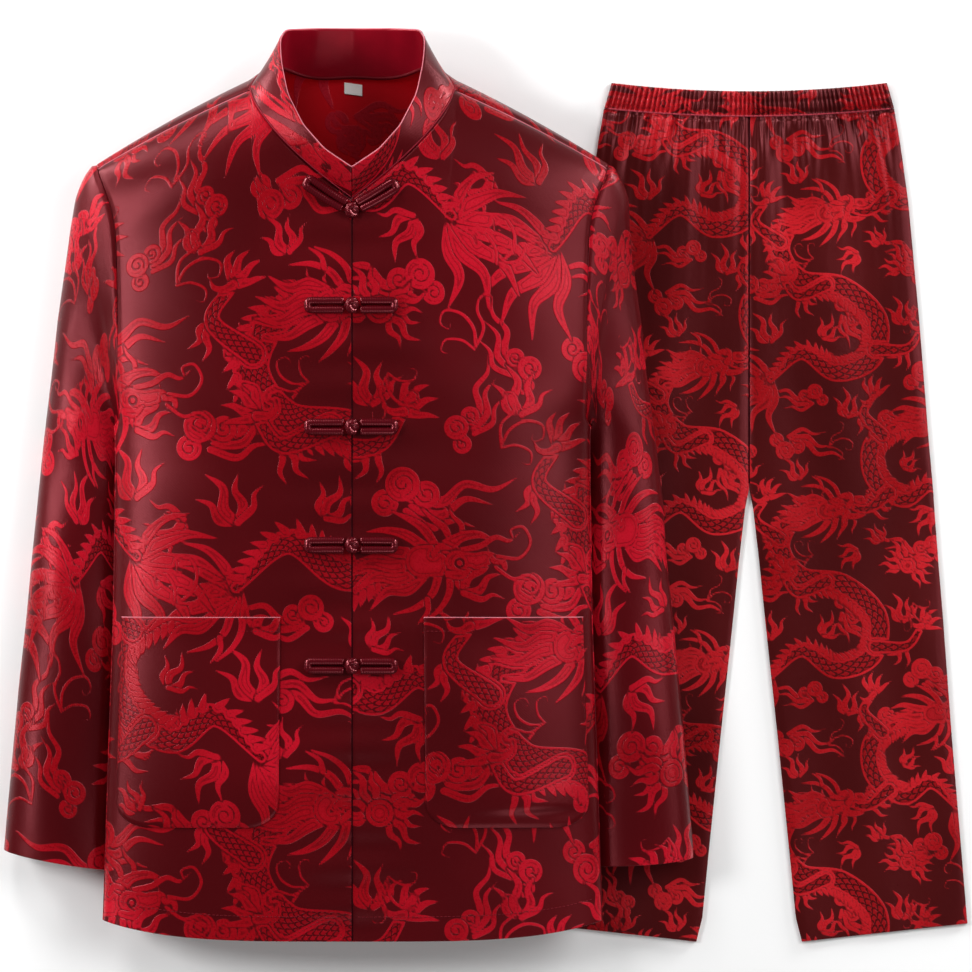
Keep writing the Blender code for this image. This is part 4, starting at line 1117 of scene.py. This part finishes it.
def build_collar():
    """The stand collar: straight lines from the neck seam to the free edge, bowed out by 0.9 mm times
    a half sine, with the facing inside.
    """
    low, high = collar_lines(COLLAR_COLUMNS)
    up = np.linspace(0, 1, COLLAR_ROWS)[:, None, None]
    points = low + (high - low) * up
    normals = grid_normals(points, "out")
    points = points + normals * np.sin(math.pi * up) * 0.9 * settings().fold_depth
    cloth("collar", points, normals, distances(points, 1) + 130.0, distances(points, 0) + 20.0, {},
          lining=("facing", COLLAR_WALL), finer=0.8)
    # The free edge's tube is pale pink: a painted highlight along the rolled edge
    trim = (("edge", high, normals[-1], -0.9, 0.6), ("seam", low, normals[0], 0.3, 0.45),
            ("tape", low, normals[0], -1.5, 1.7))
    for word, line, n, out, radius in trim:
        tube_piece("collar_" + word, [tube(line + n * out, radius, 10, (0.2, 0.3, 1.0))], word)


def build_pocket(name, side, at_u, at_v):
    """A patch pocket on the front's own surface. Its lower edge rises at the corners as a quarter circle
    does, and its mouth stands off by a half sine across it.
    """
    step, (first, last) = size_of("cloth_step"), POCKET_SHARES
    share, q = np.meshgrid(np.linspace(first, last, int(POCKET_WIDE / step)),
                           np.linspace(0, 1, int(POCKET_LONG / step)))
    from_edge = np.minimum(share - first, last - share) * POCKET_HALF_WIDTH
    corner = POCKET_CORNER * (1 - np.sqrt(1 - np.clip(1 - from_edge / POCKET_CORNER, 0, 1) ** 2))
    y = POCKET_TOP_Y + (POCKET_BOTTOM_Y + 0.75 * corner - POCKET_TOP_Y) * q
    mouth = 1.6 * hump(q * POCKET_LONG, 0, 14) * np.sin(math.pi * (share - first) / (last - first))
    points = on_front(share * reading(BODY_WIDTH, y), y, side, POCKET_LIFT + SEAM + mouth)
    normals = grid_normals(points)
    points = sink(points, normals, ("left", "right", "bottom"), 1.0, 2.2)
    cloth(name, points, normals, side * (distances(points, 1) + first * POCKET_AT) + at_u, y + at_v,
          {"top": FREE_EDGE, "bottom": SEAM_EDGE, "left": SEAM_EDGE, "right": SEAM_EDGE})
    # The mouth's highlight, painted as a thin pale pink tube along it
    tube_piece(name + "_mouth_highlight", [tube(points[0] + [0, 0.35, -0.25], PIPING, 8, (0.1, 1.0, 0.3))], "edge")


def build_frog(number, knot_y, ends):
    """A frog closure: on each front a hairpin of rolled cord, and a knot button between them.

    The hairpin is two straight runs joined by a half circle whose sine and cosine are raised to the
    power 0.6, which squares it off. The knot is three tilted rings round a ball.
    """
    gap, ones = CORD_RADIUS + SEAM / 2, np.ones(CORD_POINTS)
    turn = np.linspace(math.pi / 2, -math.pi / 2, BEND_POINTS)[1:-1]
    bend = np.sign(turn) * np.abs(np.sin(turn)) ** BEND_SQUARE
    for side, reach, rise, word in zip((-1, 1), FROG_REACH, ends, ("left", "right"), strict=True):
        length = math.hypot(reach, rise)
        ahead = np.array([reach, rise]) / length
        straight = np.linspace(KNOT_SIZE[0] + SEAM + 0.4, length - 2 * CORD_RADIUS - SEAM, CORD_POINTS)
        s = np.concatenate([straight, straight[-1] + gap * np.cos(turn) ** BEND_SQUARE, straight[::-1]])
        t = gap * np.concatenate([ones, bend, -ones])
        x, y = s * ahead[0] - t * ahead[1], knot_y + s * ahead[1] + t * ahead[0]
        path = on_front(x, y, side, CORD_RADIUS + SEAM)
        tube_piece(f"frog_{number}_{word}_cord", [tube(path, CORD_RADIUS, 16)], "cord",
                   f"frog_{number}_{word}")
    height = float(front_height(np.array(0.0), np.array(knot_y)))
    centre = np.array([JACKET_X, knot_y, height + KNOT_SIZE[2] + SEAM + 0.4])
    a = np.linspace(0, TURN, 49)
    flat_loop = KNOT_LOOP * np.stack([np.cos(a), np.sin(a) * math.cos(KNOT_TILT),
                                      np.sin(a) * math.sin(KNOT_TILT)], -1)
    tubes = []
    for tilt in (0.0, 1.05, 2.1):
        c, n = math.cos(tilt), math.sin(tilt)
        loop = flat_loop @ np.array([[c, n, 0], [-n, c, 0], [0, 0, 1]])
        tubes.append(tube(centre + loop * KNOT_SIZE, KNOT_CORD, 12, (0.3, 0.2, 1.0), False))
    u, v = np.meshgrid(np.linspace(0, TURN, 25)[:-1], np.linspace(0.0, math.pi, 13))
    ball = np.stack([np.sin(v) * np.cos(u), np.sin(v) * np.sin(u), np.cos(v)], -1)
    tubes.append((centre + KNOT_BALL * np.array(KNOT_SIZE) * ball, v * 6, u))
    tube_piece(f"frog_{number}_knot_cord", tubes, "cord", f"frog_{number}_knot")


def build_label():
    """A bare tape label inside the back of the neck: a slanting rectangle on the back's reverse, its
    free end a little higher and faintly rippled.
    """
    x, q = np.meshgrid(np.linspace(-LABEL_HALF, LABEL_HALF, 25), np.linspace(0, 1, 17))
    y = LABEL_TOP_Y - LABEL_LONG * q - LABEL_SLANT * x
    z = back_height(np.abs(x) / reading(BODY_WIDTH, y), y) + LABEL_LIFT + 0.25 * q**2 + 0.1 * np.sin(x / 2.5)
    points = np.stack([JACKET_X + x, y, z], -1)
    normals = grid_normals(points)
    edges = dict.fromkeys(("top", "bottom", "left", "right"), LABEL_EDGE)
    turned, outward, _ = turn_in(points, normals, normals, edges)
    faces = facing(turned, grid_faces(*turned.shape[:2]), outward)
    piece = make_mesh("label_tape", turned, faces, [shared("label")])
    finish_piece(piece, "label")


def leg_folds_height(p, from_top, y, across, width, side):
    """Height of a leg's folds: a slow gather, short ruffles and uneven pleats that die out downwards, and
    broad soft folds below. Each pleat's place, depth and length come from a sine of its number.
    """
    folds = settings().leg_folds
    wander = 0.5 * np.sin(y / 37 + 5 * p) + 0.25 * np.sin(y / 13 + 11 * p)
    gather = np.sin(TURN * folds * p + wander) + 0.45 * np.sin(TURN * folds * 1.9 * p + 2 + 0.7 * wander)
    gather *= np.exp(-((from_top / 78) ** 1.3)) * (0.7 + 0.3 * np.sin(7 * p + 1))
    ruffle = np.sin(TURN * 1.6 * folds * p + 2.0 * wander + 2.2 * np.sin(8 * p + side))
    pleats = 1.6 * hump(from_top, 0, 60) + 1.6 * ruffle * np.exp(-((from_top / 20) ** 1.2))
    for k in range(folds):
        chance = math.sin(12.9 * k + side * 4.1 + 1) * 43.7 % 1
        middle = (k + 0.25 + 0.5 * chance) / folds + 0.012 * np.sin(from_top / 34 + 7 * chance)
        long = 26 + 90 * (math.sin(7.3 * k + side) * 17.9 % 1) ** 2
        valley = hump(p * width, middle * width, 2.8 + 0.08 * from_top) * hump(from_top, 0, long)
        pleats -= (2.2 + 3.0 * chance) * valley
    soft = 0.35 * np.sin(y / 46 + across / 30) * np.sin(across / 24 + 1.3)
    soft += 0.25 * np.sin(across / 11 + y / 160)
    return (0.4 * gather + pleats * np.minimum(1, 0.4 + from_top / 12)
            + 1.8 * soft * np.minimum(1, from_top / 60)) * settings().fold_depth


def build_leg(name, side, back, at_u, at_v):
    """One trouser panel: columns go evenly from its inner to its outer edge. The front's height is both
    layers' thickness, a slight crown and the folds, with a groove 3 mm below the waistband.
    """
    step = LEG_BACK_STEP if back else size_of("cloth_step") * 0.95
    p, q = np.meshgrid(np.linspace(0, 1, int(LEG_WIDE / step)),
                       np.linspace(0, 1, int(LEG_LONG / step)) ** (1.0 if back else 1.12))
    top_y = BAND_LOW[0] - BAND_LOW[1] * (1 - p**2) - SEAM - 0.1
    y = top_y + (LEG_HEM_INNER_Y + (LEG_HEM_OUTER_Y - LEG_HEM_INNER_Y) * p - top_y) * q
    inner = np.interp(y, LEG_EDGES[:, 0], LEG_EDGES[:, 2])
    width = reading(LEG_EDGES, y, 1, 4.0) - inner
    across, z = inner + width * p, np.zeros_like(y)
    if not back:
        from_top = top_y - y
        edge = np.minimum(np.minimum(p, 1 - p) / 0.05, 1)
        lift = LEG_LIFT * np.sqrt(np.sin(math.pi * p).clip(0, 1)) * (0.5 + 0.5 * np.cos(math.pi * q))
        folds = leg_folds_height(p, from_top, y, across, width, side) - 1.1 * hump(from_top, 3.0, 1.0)
        z = np.maximum(2 * LEG_WALL + LAYER_GAP + lift + edge * folds, LEG_LOWEST)
    points = np.stack([TROUSERS_X + side * across, y, z], -1)
    normals = grid_normals(points, "down" if back else "up")
    if not back:
        points = sink(points, normals, ("left", "right"), 0.6, 2.2)
        points = sink(points, normals, ("top",), 0.8, 2.0)
    edges = {"top": LEG_SEAM_EDGE, "bottom": LEG_HEM_EDGE, "left": LEG_SEAM_EDGE, "right": LEG_SEAM_EDGE}
    cloth(name, points, normals, side * across + at_u, y + at_v, edges, look="trouser")


def build_waistband():
    """The elastic waistband: one flattened ring with sixty gathers on each of its two layers.

    Its half-width, height and dip go evenly from the lower to the upper edge. The face ripples as a
    raised cosine to the power 0.6, and two stitched lines press into it.
    """
    half_count = GATHERS * GATHER_COLUMNS
    across = np.linspace(-1, 1, half_count + 1)
    phase = TURN * GATHERS * (across + 1) / 2
    uneven = 0.16 * np.sin(9 * across + 1) + 0.1 * np.sin(23 * across)
    ripple = (0.5 - 0.5 * np.cos(phase + 0.9 * np.sin(13 * across) + 0.6 * np.sin(31 * across + 1))) ** 0.6
    rows = []
    for top in np.linspace(1, 0, BAND_ROWS):
        side_y, dip, half = BAND_LOW + (BAND_TOP - BAND_LOW) * top
        puff = math.sin(math.pi * top) ** 0.5 if 0 < top < 1 else 0.0
        stitched = 0.9 * hump(top, 0.1, 1.4 / BAND_HEIGHT) + 0.8 * hump(top, 0.56, 1.2 / BAND_HEIGHT)
        high = (BAND_WALL * 2 + BAND_GATHER + LAYER_GAP - 1.0 - stitched
                + (BAND_GATHER + 1.3) * ripple * (0.62 + 0.38 * puff) * (1 + uneven) + 0.5 * puff)
        low = BAND_GATHER * 0.6 * (0.5 - 0.5 * np.cos(phase)) * (1 - 0.3 * puff)
        front, under = (np.stack([TROUSERS_X + half * across, side_y - dip * (1 - across**2), z], -1)
                        for z in (high, low))
        rows.append(np.concatenate([front, under[::-2]]))
    points = np.array(rows)
    edges = {"top": ((0.3, 0.5), (0.1, 1.1), (-5.0, 1.2)), "bottom": ((0.1, 0.4), (0.0, 1.0), (-2.0, 1.1))}
    cloth("waistband", points, grid_normals(points, "out", True), points[..., 0] - TROUSERS_X + 60.0,
          points[..., 1] + 40.0, edges, look="trouser", wrap=True)
    # A pale pink tube along the lower seam: the seam's painted highlight
    seam = points[-1, 6: half_count - 5: 2] + [0.0, -0.25, -0.3]
    tube_piece("waistband_seam", [tube(seam, 0.8, 8)], "band seam")
    # The trousers' centre seam, as a thin tube painted near black: painted shadow in the seam
    y = np.linspace(2.0, BAND_LOW[0] - BAND_LOW[1] - 1.0, 120)
    rise = np.stack([np.full_like(y, TROUSERS_X), y, np.full_like(y, 2 * LEG_WALL + LAYER_GAP - 0.45)], -1)
    tube_piece("centre_seam", [tube(rise, 0.6, 8)], "flap")


STITCH_LENGTH, STITCH_GAP, STITCH_RADIUS, STITCH_RISE = 2.4, 1.3, 0.28, 0.16


def stitches(line):
    """Short stitches along a line of points: small closed tubes, each raised by a half sine."""
    starts = np.arange(0.5, line_length(line)[-1] - STITCH_LENGTH, STITCH_LENGTH + STITCH_GAP)
    t = np.linspace(0, 1, 5)
    paths = along_line(line, starts[:, None] + STITCH_LENGTH * t)
    paths[..., 2] += STITCH_RISE * np.sin(math.pi * t)
    return [tube(path, STITCH_RADIUS * np.array([0.5, 1, 1, 1, 0.5]), 6) for path in paths]


def build_stitching():
    """Rows of stitches under the pockets' mouths and above the hem, and the under flap's line between the
    fronts, painted near black as shadow.
    """
    tubes = []
    for side in (-1, 1):
        x = np.linspace(POCKET_SHARES[0] * POCKET_AT + 2, POCKET_SHARES[1] * POCKET_AT - 2, 60)
        tubes += stitches(on_front(x, np.full(60, POCKET_TOP_Y - POCKET_STITCH), side, 2.5))
        share = np.linspace(0.02, 0.97, 120)
        y = hem_y(share) + HEM_STITCH
        tubes += stitches(on_front(share * reading(BODY_WIDTH, y), y, side, 0.1))
    # A thin tube painted near black between the fronts: painted shadow over the under flap
    y = np.linspace(HEM_Y + 1.0, 255.0, 240)
    between = np.stack([np.full_like(y, JACKET_X), y, front_height(np.zeros_like(y), y) - 0.1], -1)
    tube_piece("under_flap", [tube(between, 0.6, 8)], "flap")
    tube_piece("jacket_stitches", tubes, "thread")


# Stage lamps, as place and size in metres and power in watts
LAMPS = (
    ((-1.9, 0.3, 1.7), 0.7, 29.0), ((-2.4, 0.9, 0.75), 0.7, 17.0), ((-0.9, 2.1, 1.4), 0.8, 24.0),
    ((1.8, 0.8, 2.0), 1.7, 38.0), ((2.1, 1.45, 0.5), 0.6, 40.0), ((-2.1, 1.45, 0.5), 0.6, 36.0),
    ((0.4, -2.0, 1.9), 1.2, 14.0),
)
# The camera's place in metres; at VIEW_HIGH below it the view is VIEW_WIDE across
CAMERA_HIGH, CAMERA_BACK, VIEW_HIGH, VIEW_WIDE, SENSOR, FAR_CLIP = 9.048, -0.0004, 9.0, 0.8748, 36.0, 100.0
WORLD_STRENGTH, FLOOR_HALF, FLOOR_Z, FLOOR_POINTS, WHITE = 0.13, 6000.0, -0.3, 41, (1.0, 1.0, 1.0, 1.0)


def build_stage():
    """A pale floor, soft lights and a camera straight above, at the photograph's framing."""
    # Painted board: matt, with the faint unevenness of a roller, which the eye reads as a plain surface
    painted, add = new_material("painted_floor")
    uneven = add("TexNoise", ("Vector", add("TexCoord", out="Object")), ("Scale", 160.0), ("Detail", 2.0))
    surface(add, settings().floor_colour, 0.9, 0.3, uneven, 0.08, 0.0005, WHITE)
    x, y = np.meshgrid(*[np.linspace(-FLOOR_HALF, FLOOR_HALF, FLOOR_POINTS)] * 2)
    points = np.stack([x, y, np.full_like(x, FLOOR_Z)], -1)
    faces = facing(points, grid_faces(*x.shape), grid_normals(points))
    make_mesh("floor", points, faces, [painted])
    scene = bpy.context.scene
    scene.world = scene.world or bpy.data.worlds.new("world")
    scene.world.use_nodes = True
    background = scene.world.node_tree.nodes["Background"]
    background.inputs["Color"].default_value = WHITE
    background.inputs["Strength"].default_value = WORLD_STRENGTH
    scene.view_settings.view_transform = "Standard"
    for spot, wide, power in LAMPS:
        light = bpy.data.lights.new("soft", "AREA")
        light.shape, light.size, light.energy = "DISK", wide, power
        lamp = bpy.data.objects.new("soft", light)
        lamp.location, lamp.rotation_mode = spot, "QUATERNION"
        lamp.rotation_quaternion = (-Vector(spot)).to_track_quat("-Z", "Y")
        scene.collection.objects.link(lamp)
    data = bpy.data.cameras.new("camera")
    data.sensor_width, data.clip_end, data.lens = SENSOR, FAR_CLIP, SENSOR * VIEW_HIGH / VIEW_WIDE
    scene.camera = bpy.data.objects.new("camera", data)
    scene.camera.location = (0.0, CAMERA_BACK, CAMERA_HIGH)
    scene.collection.objects.link(scene.camera)


class SUIT_OT_stage(bpy.types.Operator):
    """Sets the pale floor, the soft lights and the camera"""

    bl_idname = "suit.stage"
    bl_label = "Stage"

    def execute(self, context):
        build_stage()
        return {"FINISHED"}


class SUIT_OT_jacket(bpy.types.Operator):
    """Builds the jacket's two fronts and its back"""

    bl_idname = "suit.jacket"
    bl_label = "Jacket fronts and back"

    def execute(self, context):
        build_front("front_left", -1, 170.0, 120.0)
        build_front("front_right", 1, 250.0, 40.0)
        build_back()
        return {"FINISHED"}


class SUIT_OT_sleeves(bpy.types.Operator):
    """Builds the two sleeves, from armhole to cuff"""

    bl_idname = "suit.sleeves"
    bl_label = "Sleeves"

    def execute(self, context):
        build_sleeve("sleeve_left", -1, 0)
        build_sleeve("sleeve_right", 1, 1)
        return {"FINISHED"}


class SUIT_OT_collar(bpy.types.Operator):
    """Builds the stand collar with its piping, a painted highlight line on its edge, and the label in the
    neck
    """

    bl_idname = "suit.collar"
    bl_label = "Collar and label"

    def execute(self, context):
        build_collar()
        build_label()
        return {"FINISHED"}


class SUIT_OT_pockets(bpy.types.Operator):
    """Builds the two patch pockets on the fronts"""

    bl_idname = "suit.pockets"
    bl_label = "Pockets"

    def execute(self, context):
        build_pocket("pocket_left", -1, 60.0, 300.0)
        build_pocket("pocket_right", 1, 330.0, 200.0)
        return {"FINISHED"}


class SUIT_OT_frogs(bpy.types.Operator):
    """Builds the five frog closures down the centre front"""

    bl_idname = "suit.frogs"
    bl_label = "Frog closures"

    def execute(self, context):
        for number, (knot_y, *ends) in enumerate(FROGS, 1):
            build_frog(number, knot_y, ends)
        return {"FINISHED"}


class SUIT_OT_trousers(bpy.types.Operator):
    """Builds the trousers' four panels and the gathered waistband"""

    bl_idname = "suit.trousers"
    bl_label = "Trousers"

    def execute(self, context):
        build_leg("trouser_front_left", -1, False, 130.0, 60.0)
        build_leg("trouser_front_right", 1, False, 20.0, 190.0)
        build_leg("trouser_back_left", -1, True, 0.0, 0.0)
        build_leg("trouser_back_right", 1, True, 0.0, 0.0)
        build_waistband()
        return {"FINISHED"}


class SUIT_OT_stitching(bpy.types.Operator):
    """Adds the rows of stitches on pockets and hem"""

    bl_idname = "suit.stitching"
    bl_label = "Stitching"

    def execute(self, context):
        build_stitching()
        return {"FINISHED"}


OPERATORS = (SUIT_OT_stage, SUIT_OT_jacket, SUIT_OT_sleeves, SUIT_OT_collar, SUIT_OT_pockets, SUIT_OT_frogs,
             SUIT_OT_trousers, SUIT_OT_stitching)


class SUIT_PT_panel(bpy.types.Panel):
    """The suit's sizes, colours and building steps"""

    bl_label = "Tai Chi Suit"
    bl_space_type = "VIEW_3D"
    bl_region_type = "UI"
    bl_category = "Suit"

    def draw(self, context):
        for key in SuitSettings.__annotations__:
            self.layout.prop(context.scene.suit_settings, key)
        for step in OPERATORS:
            self.layout.operator(step.bl_idname)


def register():
    for kind in (SuitSettings, *OPERATORS, SUIT_PT_panel):
        bpy.utils.register_class(kind)
    bpy.types.Scene.suit_settings = PointerProperty(type=SuitSettings)


def unregister():
    del bpy.types.Scene.suit_settings
    for kind in reversed((SuitSettings, *OPERATORS, SUIT_PT_panel)):
        bpy.utils.unregister_class(kind)


def main():
    register()
    bpy.ops.suit.stage()
    bpy.ops.suit.jacket()
    bpy.ops.suit.sleeves()
    bpy.ops.suit.collar()
    bpy.ops.suit.pockets()
    bpy.ops.suit.frogs()
    bpy.ops.suit.trousers()
    bpy.ops.suit.stitching()


if __name__ == "__main__":
    main()
